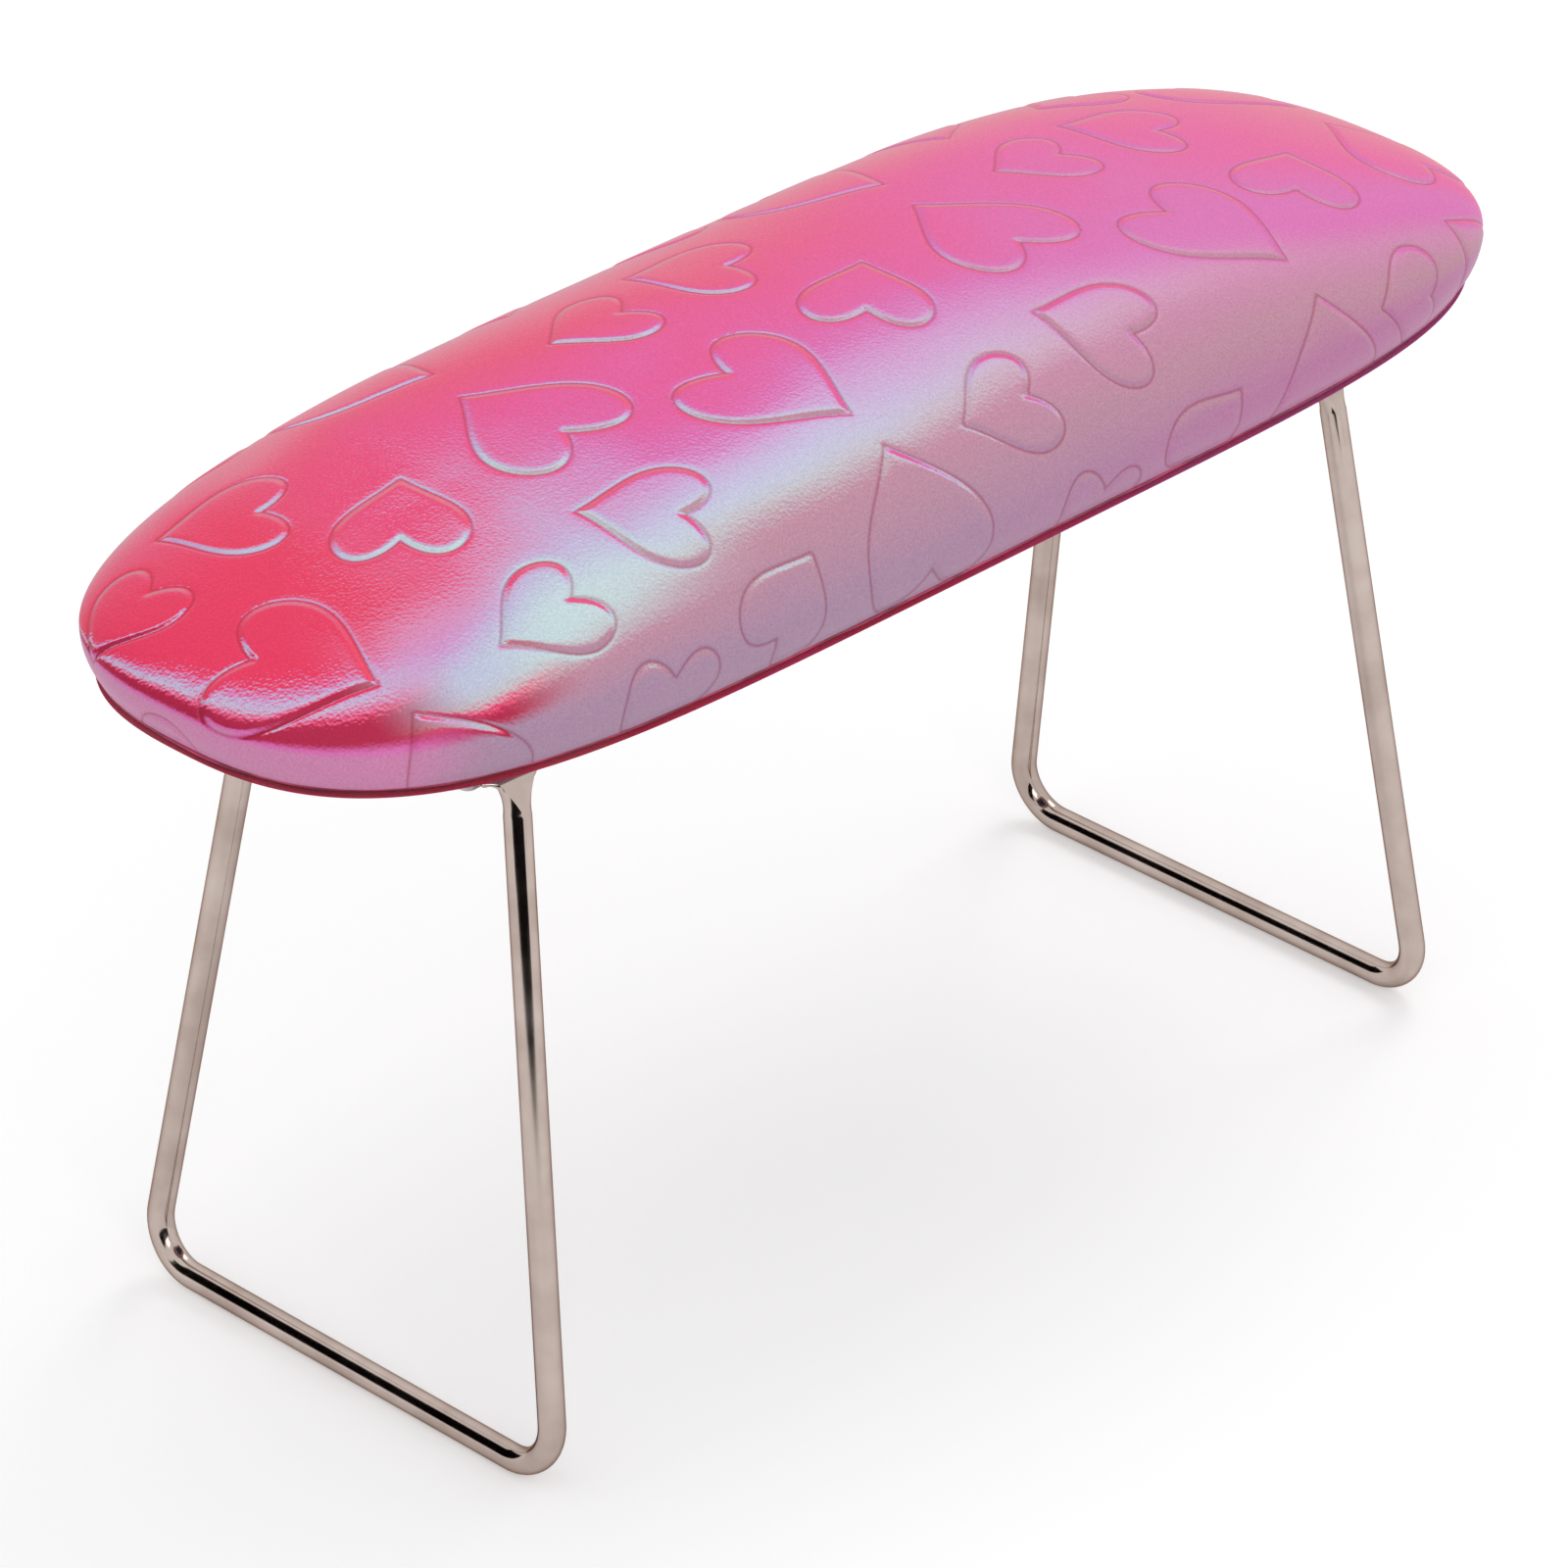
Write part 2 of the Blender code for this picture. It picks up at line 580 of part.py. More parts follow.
def main():
    for old in list(bpy.data.objects):
        bpy.data.objects.remove(old)
    film = material("pearl_pink_film", (0.86, 0.16, 0.36), 0.38)
    edge = material("crimson_film_edge", (0.45, 0.02, 0.10), 0.45)
    foam = material("cream_foam", (0.85, 0.80, 0.66), 0.95)
    wood = material("fibre_board", (0.50, 0.36, 0.22), 0.80)
    cloth = material("black_lining_cloth", (0.03, 0.03, 0.03), 0.95)
    nickel = material("nickel_wire", (0.72, 0.66, 0.63), 0.12, 1.0)
    steel = material("plated_steel", (0.62, 0.60, 0.58), 0.28, 1.0)

    top_cover(film)
    rim_welt(edge)
    under_cover(film)
    foam_pad(foam)
    holes = [place for _, place, _ in screw_places()]
    board = panel("base_board", BOARD_INSET, BOARD_BOTTOM, BOARD_TOP, wood, (12, 10))
    drill(board, "pilot_holes", holes, SCREW_DIAMETER / 2 + GAP, BOARD_BOTTOM - GAP, PLATE_BOTTOM + SCREW_LENGTH + GAP)
    lining = panel("bottom_lining", LINING_INSET, LINING_BOTTOM, LINING_BOTTOM + LINING_THICKNESS, cloth, (10, 8))
    drill(lining, "lining_holes", holes, SCREW_DIAMETER / 2 + GAP, LINING_BOTTOM - GAP, TURN_IN_BOTTOM)
    for side, end in (("left", -1), ("right", 1)):
        leg_frame(side, end, nickel)
        mounting_plate(side, end, steel)
    for number, (side, place, seat) in enumerate(screw_places()):
        plate_screw(number % 4 + 1, side, place, seat, steel)


main()
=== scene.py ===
"""Looks of the manicure hand rest: a pearl film pad with embossed hearts on two legs of nickel-plated wire.

Metres, +Z up. +X runs along the pad, and the photograph sees the side that faces -Y.
"""

import sys
import logging
from dataclasses import dataclass, field
from enum import Enum
from math import cos, pi, radians, sin, tan
from typing import Any

import bmesh
import bpy
import numpy as np
from bpy.types import ID, Material, Node, NodeSocket, NodeTree, Object
from mathutils import Matrix, Vector, noise


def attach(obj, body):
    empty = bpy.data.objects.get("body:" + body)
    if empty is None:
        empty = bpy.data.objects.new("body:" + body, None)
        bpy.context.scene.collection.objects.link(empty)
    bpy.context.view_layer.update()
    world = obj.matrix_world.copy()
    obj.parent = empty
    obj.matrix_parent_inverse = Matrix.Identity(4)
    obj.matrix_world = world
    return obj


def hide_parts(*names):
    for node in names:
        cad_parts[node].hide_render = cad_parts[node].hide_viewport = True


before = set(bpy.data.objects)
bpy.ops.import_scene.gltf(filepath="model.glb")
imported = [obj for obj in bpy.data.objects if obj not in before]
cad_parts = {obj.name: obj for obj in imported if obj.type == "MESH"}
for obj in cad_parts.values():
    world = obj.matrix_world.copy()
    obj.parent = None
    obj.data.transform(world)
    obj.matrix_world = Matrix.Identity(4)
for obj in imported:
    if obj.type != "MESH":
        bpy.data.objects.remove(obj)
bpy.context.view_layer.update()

LOG = logging.getLogger("hand_rest")
MM = 0.001
# Halvings of a range in which a place on the pad's form is sought, down to far less than a micron
HALVINGS = 40
# Nearly all values of a noise texture lie between these
NOISE_LOW, NOISE_HIGH = 0.3, 0.7


class Side(Enum):
    """The two ends of the pad, each with one leg, by the sign of X."""

    LEFT = -1
    RIGHT = 1

    @property
    def word(self) -> str:
        """The side's name as the frame's nodes spell it."""
        return self.name.lower()


# Shared helpers


def linear(colour: str) -> tuple[float, float, float, float]:
    """Turns an sRGB hex colour into linear RGBA.

    Args:
        colour: Six hex digits after a hash.

    Returns:
        Linear red, green and blue, with an alpha of 1.
    """
    parts = [int(colour[i : i + 2], 16) / 255 for i in (1, 3, 5)]
    red, green, blue = (c / 12.92 if c <= 0.04045 else ((c + 0.055) / 1.055) ** 2.4 for c in parts)
    return red, green, blue, 1.0


def add_node(tree: NodeTree, kind: str, inputs: dict[Any, Any] | None = None, **settings: Any) -> Node:
    """Adds one node with its settings, and sets or links its inputs.

    Args:
        tree: Node tree that gets the node.
        kind: Blender's type name of the node, after "ShaderNode".
        inputs: Value, socket, or node for its first output, by the input's name or number.
        settings: Node properties; stops fills a colour ramp with (place, colour) pairs.

    Returns:
        The node.
    """
    node = tree.nodes.new("ShaderNode" + kind)
    for name, value in settings.items():
        if name != "stops":
            setattr(node, name, value)
            continue
        ramp = node.color_ramp.elements
        ramp.remove(ramp[-1])
        for i, (place, colour) in enumerate(value):
            stop = ramp.new(place) if i else ramp[0]
            stop.position, stop.color = place, linear(colour)
    for name, value in (inputs or {}).items():
        if isinstance(value, Node):
            value = value.outputs[0]
        if isinstance(value, NodeSocket):
            tree.links.new(value, node.inputs[name])
        else:
            node.inputs[name].default_value = value
    return node


def new_material(name: str) -> tuple[Material, NodeTree]:
    """Starts an empty node material.

    Args:
        name: The finish's name.

    Returns:
        The material and its node tree.
    """
    made = bpy.data.materials.new(name)
    made.use_nodes = True
    made.node_tree.nodes.clear()
    return made, made.node_tree


def end_material(made: Material, inputs: dict[Any, Any], kind: str = "BsdfPrincipled") -> Material:
    """Ends a material with its shader.

    Args:
        made: The material.
        inputs: The shader's inputs, as add_node takes them.
        kind: Blender's type name of the shader, after "ShaderNode".

    Returns:
        The material.
    """
    shader = add_node(made.node_tree, kind, inputs)
    add_node(made.node_tree, "OutputMaterial", {0: shader})
    return made


def add_object(name: str, data: ID) -> Object:
    """Adds an object to the scene.

    Args:
        name: Object name.
        data: Its mesh, lamp or camera.

    Returns:
        The object.
    """
    added = bpy.data.objects.new(name, data)
    bpy.context.collection.objects.link(added)
    return added


def add_mesh(name: str, points: Any, faces: Any) -> Object:
    """Adds a mesh object to the scene.

    Args:
        name: Object name.
        points: Vertex places in metres.
        faces: Vertex numbers of each face.

    Returns:
        The object.
    """
    mesh = bpy.data.meshes.new(name)
    mesh.from_pydata([tuple(point) for point in points], [], [tuple(face) for face in faces])
    return add_object(name, mesh)


def make_piece(
    name: str,
    points: Any,
    faces: Any,
    finish: Material,
    node: str,
    crease: float,
    closed: bool = True,
) -> Object:
    """Makes a piece of the object from points and faces, and ties it to the frame.

    Args:
        name: Piece name.
        points: Vertex places in metres.
        faces: Vertex numbers of each face.
        finish: Material of the piece.
        node: CAD node that the piece stands for.
        crease: Angle in degrees above which an edge is shaded sharp.
        closed: Whether the piece is closed, so that its faces can be turned outwards.

    Returns:
        The piece.
    """
    piece = add_mesh(name, points, faces)
    mesh = piece.data
    mesh.validate()
    mesh.materials.append(finish)
    mesh.shade_smooth()
    mesh.set_sharp_from_angle(angle=radians(crease))
    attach(piece, "root")
    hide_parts(node)
    if closed:
        builder = bmesh.new()
        builder.from_mesh(mesh)
        bmesh.ops.recalc_face_normals(builder, faces=builder.faces)
        builder.to_mesh(mesh)
        builder.free()
    LOG.info("%s: %d points, %d faces", name, len(mesh.vertices), len(mesh.polygons))
    return piece


def skin_faces(rows: int, columns: int, closed_rows: bool, capped: bool = False) -> list[tuple[int, ...]]:
    """Numbers the quads between rings of points that follow each other.

    Args:
        rows: Count of rings.
        columns: Points in each ring, which is closed.
        closed_rows: Whether the last ring joins the first.
        capped: Whether the first and last ring are closed by a face.

    Returns:
        Vertex numbers of each face.
    """
    faces: list[tuple[int, ...]] = []
    for row in range(rows if closed_rows else rows - 1):
        below, above = row * columns, (row + 1) % rows * columns
        for i in range(columns):
            j = (i + 1) % columns
            faces.append((below + i, below + j, above + j, above + i))
    if capped:
        faces.append(tuple(reversed(range(columns))))
        faces.append(tuple(range((rows - 1) * columns, rows * columns)))
    return faces


def noise_at(points: Any, scale: float) -> np.ndarray:
    """Reads smooth noise at each point.

    Args:
        points: Places in metres.
        scale: Swings of the noise to the metre.

    Returns:
        Values from about -1 to 1.
    """
    return np.array([noise.noise(Vector(point) * scale) for point in points])


def smooth_step(values: np.ndarray) -> np.ndarray:
    """Eases values from 0 to 1 and holds them outside.

    Args:
        values: Any values.

    Returns:
        The eased values.
    """
    held = np.clip(values, 0, 1)
    return held * held * (3 - 2 * held)


# Form of the pad


@dataclass
class Lines:
    """Points along lines that run from the pad's ridge over its dome and down its side.

    Attributes:
        points: Place of each point, by line and step.
        across: Length from the ridge to each point, along the surface.
        base: Where each line leaves the ridge.
        turn: Direction of each line in plan.
    """

    points: np.ndarray
    across: np.ndarray
    base: np.ndarray
    turn: np.ndarray

    @property
    def unwrapped(self) -> tuple[np.ndarray, np.ndarray]:
        """Place of each point on the cover laid flat: along the pad, and round it."""
        along = self.base[:, None] + self.across * np.cos(self.turn)[:, None]
        return along, self.across * np.sin(self.turn)[:, None]


@dataclass
class PadForm:
    """The pad's form, measured to the outside of its cover."""

    length: float = 0.3026
    width: float = 0.1056
    crown_rise: float = 0.0235
    waist_height: float = 0.1476
    square_ends: float = 5.0
    round_sides: float = 2.58
    fall_to_ends: float = 1.8
    crown_fullness: float = 1.7
    rim_drop: float = 0.0066
    rim_tuck: float = 0.0022
    ridge_end_setback: float = 0.0533
    profile_steps: int = 140

    @property
    def ridge(self) -> float:
        """Half the length of the ridge."""
        return self.length / 2 - self.ridge_end_setback

    @property
    def rim_height(self) -> float:
        """Height of the cover's lower edge."""
        return self.waist_height - self.rim_drop

    def rays(self, side_steps: int, end_steps: int) -> tuple[np.ndarray, np.ndarray]:
        """Spreads lines round the pad, parallel along its sides and fanned at its ends.

        Args:
            side_steps: Lines along each side.
            end_steps: Lines round each end.

        Returns:
            Where each line leaves the ridge, and its direction in plan.
        """
        base, turn = [], []
        for end, start in ((1, -pi / 2), (-1, pi / 2)):
            base.append(np.full(end_steps, end * self.ridge))
            turn.append(start + pi * np.arange(end_steps) / end_steps)
            base.append(end * self.ridge * (1 - 2 * np.arange(side_steps) / side_steps))
            turn.append(np.full(side_steps, start + pi))
        return np.concatenate(base), np.concatenate(turn)

    def reach(self, base: np.ndarray, turn: np.ndarray, inset: float = 0.0) -> np.ndarray:
        """Finds how far the plan outline lies from the ridge.

        Args:
            base: Where each line leaves the ridge.
            turn: Direction of each line.
            inset: Distance of the outline inside the pad's widest one.

        Returns:
            Length of each line in plan.
        """
        near, far = np.zeros_like(base), np.full_like(base, self.length / 2)
        for _ in range(HALVINGS):
            middle = (near + far) / 2
            x = np.abs(base + middle * np.cos(turn)) / (self.length / 2 - inset)
            y = np.abs(middle * np.sin(turn)) / (self.width / 2 - inset)
            inside = x**self.square_ends + y**self.round_sides < 1
            near, far = np.where(inside, middle, near), np.where(inside, far, middle)
        return near

    def rise(self, x: np.ndarray, y: np.ndarray) -> np.ndarray:
        """Gives the dome's height above its waist.

        Args:
            x: Places along the pad.
            y: Places across the pad.

        Returns:
            Height at each place.
        """
        low, high = np.full(x.shape, 1e-9), np.ones(x.shape)
        for _ in range(HALVINGS):
            level = (low + high) / 2
            along = np.abs(x) / (self.length / 2 * level ** (1 / self.fall_to_ends))
            across = np.abs(y) / (self.width / 2 * level ** (1 / self.round_sides))
            outside = along**self.square_ends + across**self.round_sides > 1
            low, high = np.where(outside, level, low), np.where(outside, high, level)
        return self.crown_rise * (1 - high) ** (1 / self.crown_fullness)

    def lines(self, side_steps: int, end_steps: int, dome_steps: int, wall_steps: int) -> Lines:
        """Runs lines at even spacing from the ridge to the cover's lower edge.

        Args:
            side_steps: Lines along each side.
            end_steps: Lines round each end.
            dome_steps: Steps from the ridge to the waist.
            wall_steps: Steps from the waist to the lower edge.

        Returns:
            The lines, each with its first point on the ridge.
        """
        base, turn = self.rays(side_steps, end_steps)
        out = self.reach(base, turn)[:, None] * np.sin(np.linspace(0, pi / 2, self.profile_steps))
        x = base[:, None] + out * np.cos(turn)[:, None]
        y = out * np.sin(turn)[:, None]
        z = self.waist_height + self.rise(x, y)
        z[:, -1] = self.waist_height
        profile = np.stack([x, y, z], 2)
        steps = np.linalg.norm(np.diff(profile, axis=1), axis=2)
        run = np.concatenate([np.zeros((len(base), 1)), np.cumsum(steps, 1)], 1)
        share = np.linspace(0, 1, dome_steps + 1)
        dome = np.empty((len(base), dome_steps + 1, 3))
        for i in range(len(base)):
            for axis in range(3):
                dome[i, :, axis] = np.interp(share * run[i, -1], run[i], profile[i, :, axis])
        below = self.rim_drop * np.arange(1, wall_steps + 1) / wall_steps
        tuck = self.rim_tuck * (below / self.rim_drop) ** 2
        outward = np.stack([np.cos(turn), np.sin(turn)], 1)
        wall = np.repeat(dome[:, -1:, :], wall_steps, 1)
        wall[:, :, :2] -= outward[:, None, :] * tuck[None, :, None]
        wall[:, :, 2] -= below
        across = np.concatenate([run[:, -1:] * share, run[:, -1:] + below], 1)
        return Lines(np.concatenate([dome, wall], 1), across, base, turn)

    def ring(self, inset: float, height: float, side_steps: int, end_steps: int) -> np.ndarray:
        """Draws the plan outline at an inset and a height.

        Args:
            inset: Distance inside the pad's widest outline.
            height: Height above the floor.
            side_steps: Points along each side.
            end_steps: Points round each end.

        Returns:
            Points of the closed outline.
        """
        base, turn = self.rays(side_steps, end_steps)
        base = base * (self.length / 2 - inset) / (self.length / 2)
        reach = self.reach(base, turn, inset)
        level = np.full(len(base), height)
        return np.stack([base + reach * np.cos(turn), reach * np.sin(turn), level], 1)


@dataclass
class HeartPattern:
    """Hearts scattered over the unwrapped cover, embossed so that each stands up inside a faint groove."""

    repeat: float = 0.1055
    drift: float = -0.0055
    bend: float = -0.0015
    large: float = 0.0225
    medium: float = 0.0176
    small: float = 0.0154
    fullness: float = 1.32
    lift: float = 0.16 * MM
    edge_run: float = 1.6 * MM
    groove_depth: float = 0.08 * MM
    groove_width: float = 0.70 * MM
    groove_middle: float = -0.25 * MM
    search_margin: float = 4 * MM
    outline_points: int = 120
    curve_middle: float = -5.2
    curve_length: float = 21.0

    def hearts(self) -> list[tuple[float, float, float, float]]:
        """Lists one repeat: place along and round the pad in repeats, size, and turn of the notch from +X."""
        large, medium, small = self.large, self.medium, self.small
        return [
            (-0.273, -0.209, large, 112),
            (-0.626, 0.064, large, -83),
            (-0.927, 0.009, medium, -134),
            (-0.355, 0.175, small, -4),
            (-0.104, 0.216, medium, -42),
            (-0.697, -0.270, medium, -43),
            (-0.981, -0.349, small, 0),
            (-0.237, -0.495, large, -93),
            (-0.536, -0.536, small, -140),
            (-0.834, -0.630, small, 75),
            (-0.654, 0.365, large, 118),
            (-0.332, 0.445, medium, 80),
            (-0.986, 0.493, small, 15),
        ]

    def outline(self, size: float, turn: float) -> np.ndarray:
        """Draws one heart about its middle.

        Args:
            size: Distance from tip to lobes.
            turn: Direction of the notch in degrees from +X.

        Returns:
            Points of the outline on the unwrapped cover.
        """
        # The waves give the tip, the lobes and the notch, and the power flattens the sides towards the tip
        t = np.linspace(0, 2 * pi, self.outline_points + 1)[:-1]
        along = 12.2 * np.cos(t) - 4.3 * np.cos(2 * t) - 1.7 * np.cos(3 * t) - 0.9 * np.cos(4 * t)
        across = np.abs(np.sin(t)) ** 2.15 * np.sign(np.sin(t))
        x, y = (along - self.curve_middle) / self.curve_length * size, across * self.fullness / 2 * size
        c, s = cos(radians(turn)), sin(radians(turn))
        return np.stack([x * c - y * s, x * s + y * c], 1)

    def depth_inside(self, along: np.ndarray, around: np.ndarray) -> np.ndarray:
        """Measures how far each place lies inside the nearest heart outline.

        Args:
            along: Places along the pad on the unwrapped cover.
            around: Places round the pad on the unwrapped cover.

        Returns:
            Distance to the nearest outline, negative outside all hearts.
        """
        found = np.full(along.shape, -1.0)
        for shift in range(-2, 4):
            curve = shift * shift * self.bend
            for place, side, size, turn in self.hearts():
                middle_u = (place + shift) * self.repeat + curve
                middle_v = side * self.repeat + shift * self.drift + curve
                near = np.hypot(along - middle_u, around - middle_v) < size * 0.75 + self.search_margin
                if not near.any():
                    continue
                outline = self.outline(size, turn)
                u, v = along[near] - middle_u, around[near] - middle_v
                found[near] = np.maximum(found[near], self.signed_distance(u, v, outline))
        return found

    @staticmethod
    def signed_distance(u: np.ndarray, v: np.ndarray, outline: np.ndarray) -> np.ndarray:
        """Measures places against one closed outline.

        Args:
            u: First coordinate of each place.
            v: Second coordinate of each place.
            outline: Points of the outline.

        Returns:
            Distance to the outline, positive inside.
        """
        nearest = np.full(u.shape, 1.0)
        inside = np.zeros(u.shape, bool)
        for (u0, v0), (u1, v1) in zip(outline, np.roll(outline, -1, 0)):
            du, dv = u1 - u0, v1 - v0
            share = np.clip(((u - u0) * du + (v - v0) * dv) / max(du * du + dv * dv, 1e-14), 0, 1)
            nearest = np.minimum(nearest, np.hypot(u - u0 - share * du, v - v0 - share * dv))
            crosses = (v0 > v) != (v1 > v)
            inside ^= crosses & (u < (v - v0) * du / (dv if abs(dv) > 1e-12 else 1e-12) + u0)
        return np.where(inside, nearest, -nearest)

    def relief(self, depth: np.ndarray) -> np.ndarray:
        """Turns depth inside a heart into the height of the embossing.

        Args:
            depth: Signed distance inside the nearest outline.

        Returns:
            Height above the plain cover.
        """
        raised = self.lift * smooth_step(depth / self.edge_run)
        groove = self.groove_depth * np.exp(-(((depth - self.groove_middle) / self.groove_width) ** 2))
        return raised - groove


# Finishes


class Tint(Enum):
    """Tints of the pearl film, as sRGB hex: coral and pinks for the top, pale lilac, silver, mint and ash for the
    painted highlight, crimson for painted shade, salmon for painted sheen on the far side, and mauves for a painted
    reflection of the pale floor on the steep side.
    """

    SALMON = "#E5708A"
    BLUSH = "#EA4874"
    CORAL = "#EC2F5C"
    CERISE = "#EC3A74"
    ROSE = "#E8529A"
    CARNATION = "#DD8CB6"
    ORCHID = "#DA68B2"
    HEATHER = "#D394CC"
    LILAC = "#C6B0D8"
    SILVER = "#C0C6DE"
    MINT = "#C6DADD"
    ASH = "#C5C3C9"
    PLUM = "#D185B0"
    ROSEWOOD = "#C18C9F"
    MAUVE = "#AF8CA8"
    DAMSON = "#C07AA6"
    CRIMSON = "#B51A47"


@dataclass(frozen=True)
class PearlFilm:
    """Vinyl film with a pearl coating, calendered with a fine leather grain.

    Its colour is painted by slope and place: coral and pink on top, a painted highlight in lilac, silver and mint
    where the shoulder rolls over, painted shade in crimson below it round the left end, and a painted reflection of
    the pale floor in dusty mauve on the side.

    Attributes:
        groove: Where the groove's wall starts and ends, by distance inside a heart, and how far it falls.
        step: Where the raised edge starts and ends, by distance inside a heart, and how far it rises.
        line_width: Half the width of the painted shade line along the groove round each heart.
        lit_side: Side towards which the surface's tilt is measured; the painted highlight lies on slopes turned that
            way.
        sway: Most that the painted highlight and shade drift, in degrees of tilt.
        span: Tilt in degrees at either end of the ramps.
        speck: Darkest and lightest fleck of the coating.
    """

    name: str = "pearl_vinyl_film"
    roughness: float = 0.42
    specular: float = 0.28
    grain_width: float = 0.60 * MM
    grain_depth: float = 0.05 * MM
    grain_strength: float = 0.7
    groove: tuple[float, float, float] = (-1.0 * MM, -0.25 * MM, -0.08 * MM)
    step: tuple[float, float, float] = (-0.3 * MM, 1.15 * MM, 0.25 * MM)
    # line, line_width and line_shade: colour, half width and strength of the painted shade in the groove round each
    # heart
    line: str = "#CC6A84"
    line_width: float = 0.50 * MM
    line_shade: float = 0.55
    lit_side: tuple[float, float, float] = (-1.05, -1.0, 0.0)
    sway: float = 2.5
    span: float = 100.0
    speck: tuple[float, float] = (0.87, 1.10)

    def runs(self) -> tuple[tuple[float, tuple[tuple[float, Tint], ...]], ...]:
        """Lists the runs of tints, coral and pink with painted highlight, shade and floor reflection: place along
        the pad, then degrees past the turn and tint.
        """
        t = Tint
        return (
            (-0.137, (
                (-65, t.ROSEWOOD), (-38, t.SALMON), (-24, t.BLUSH), (-12, t.CORAL), (1, t.CORAL), (5, t.HEATHER),
                (8, t.SILVER), (11, t.CARNATION), (14, t.BLUSH), (17, t.CRIMSON), (33, t.CRIMSON), (44, t.ORCHID),
                (60, t.PLUM))),
            (-0.119, (
                (-60, t.ROSEWOOD), (-34, t.SALMON), (-20, t.BLUSH), (-10, t.CORAL), (-5, t.CORAL), (2, t.CARNATION),
                (8, t.HEATHER), (11, t.LILAC), (16, t.SILVER), (22, t.SILVER), (29, t.ASH), (35, t.BLUSH),
                (40, t.CRIMSON), (45, t.CRIMSON), (56, t.MAUVE))),
            (-0.101, (
                (-60, t.ROSEWOOD), (-32, t.SALMON), (-18, t.SALMON), (-8, t.BLUSH), (-1, t.CERISE), (4, t.CARNATION),
                (9, t.LILAC), (13, t.SILVER), (18, t.MINT), (27, t.MINT), (34, t.ASH), (42, t.ROSEWOOD),
                (66, t.MAUVE))),
            (-0.055, (
                (-48, t.ROSEWOOD), (-26, t.SALMON), (-10, t.BLUSH), (0, t.ROSE), (4, t.ORCHID), (8, t.HEATHER),
                (12, t.LILAC), (19, t.SILVER), (23, t.ASH), (31, t.ROSEWOOD), (70, t.MAUVE))),
            (0.090, (
                (-36, t.ROSEWOOD), (-18, t.SALMON), (-6, t.ROSE), (2, t.ORCHID), (12, t.ORCHID), (24, t.PLUM),
                (50, t.ROSEWOOD), (85, t.DAMSON))),
        )

    def relief(self, tree: NodeTree, place: NodeSocket, depth: NodeSocket) -> Node:
        """Adds the nodes of the embossed edges and of the grain.

        Args:
            tree: The material's node tree.
            place: Place on the object.
            depth: Distance inside the nearest heart.

        Returns:
            The node that gives the uneven surface's direction.
        """
        walls = []
        for start, end, rise in (self.groove, self.step):
            wall = {0: depth, 1: start, 2: end, 3: 0.0, 4: rise}
            walls.append(add_node(tree, "MapRange", wall, interpolation_type="SMOOTHSTEP"))
        height = add_node(tree, "Math", {0: walls[0], 1: walls[1]}, operation="ADD")
        embossed = add_node(tree, "Bump", {"Strength": 1.0, "Distance": 1.0, "Height": height})
        # The grain's cells are drawn 0.60 mm wide, half as wide again as the real ones, so that they show
        scaled = {"Vector": place, "Scale": 1 / self.grain_width}
        cells = add_node(tree, "TexVoronoi", scaled, feature="SMOOTH_F1")
        grain = {"Strength": self.grain_strength, "Distance": self.grain_depth, "Height": cells}
        return add_node(tree, "Bump", grain | {"Normal": embossed})

    def slope(self, tree: NodeTree, place: NodeSocket, along: NodeSocket, grain: Node) -> Node:
        """Adds the nodes that tell how far the surface has turned past pink towards the lit side, which places the
        painted highlight and shade.

        Args:
            tree: The material's node tree.
            place: Place on the object.
            along: Place along the pad.
            grain: The uneven surface's direction.

        Returns:
            The node that gives the share of the ramps' span.
        """
        # The tilt of the bumped surface towards the lit side, heart edges and grain included, picks the painted
        # highlight and shade
        up = add_node(tree, "SeparateXYZ", {0: grain}).outputs["Z"]
        towards = add_node(tree, "VectorMath", {0: grain, 1: self.lit_side}, operation="DOT_PRODUCT")
        tilt = add_node(tree, "Math", {0: towards.outputs["Value"], 1: up}, operation="ARCTAN2")
        # The film is wrapped by hand, so its painted highlight and shade sway by a few degrees of tilt every 36 mm
        drift = add_node(tree, "TexNoise", {"Vector": place, "Scale": 28.0, "Detail": 2.0})
        swing = {0: drift, 1: NOISE_LOW, 2: NOISE_HIGH, 3: -radians(self.sway), 4: radians(self.sway)}
        past = add_node(tree, "Math", {0: tilt, 1: add_node(tree, "MapRange", swing)}, operation="ADD")
        # Pink turns to the painted lilac highlight at 5 degrees of tilt along the left half, later round the left
        # end, sooner at the right
        turns = ((-0.030, 0.090, 5, -6, "SMOOTHSTEP"), (-0.150, -0.085, 25, 0, "LINEAR"))
        for start, end, first, last, easing in turns:
            limits = {0: along, 1: start, 2: end, 3: radians(first), 4: radians(last)}
            shift = add_node(tree, "MapRange", limits, interpolation_type=easing)
            past = add_node(tree, "Math", {0: past, 1: shift}, operation="SUBTRACT")
        return add_node(tree, "MapRange", {0: past, 1: -radians(self.span), 2: radians(self.span)})

    def pearl(self, tree: NodeTree, along: NodeSocket, share: Node) -> NodeSocket:
        """Adds a ramp for each run of tints, and blends each with the next along the pad.

        Args:
            tree: The material's node tree.
            along: Place along the pad.
            share: Share of the ramps' span.

        Returns:
            The film's colour with its painted highlight, shade and reflection.
        """
        colour, before = None, 0.0
        for at, tints in self.runs():
            stops = [((degrees + self.span) / (2 * self.span), tint.value) for degrees, tint in tints]
            ramp = add_node(tree, "ValToRGB", {0: share}, stops=stops)
            if colour is None:
                colour = ramp.outputs[0]
            else:
                blend = add_node(tree, "MapRange", {0: along, 1: before, 2: at}, interpolation_type="SMOOTHSTEP")
                colour = add_node(tree, "Mix", {0: blend, 6: colour, 7: ramp}, data_type="RGBA").outputs[2]
            before = at
        return colour

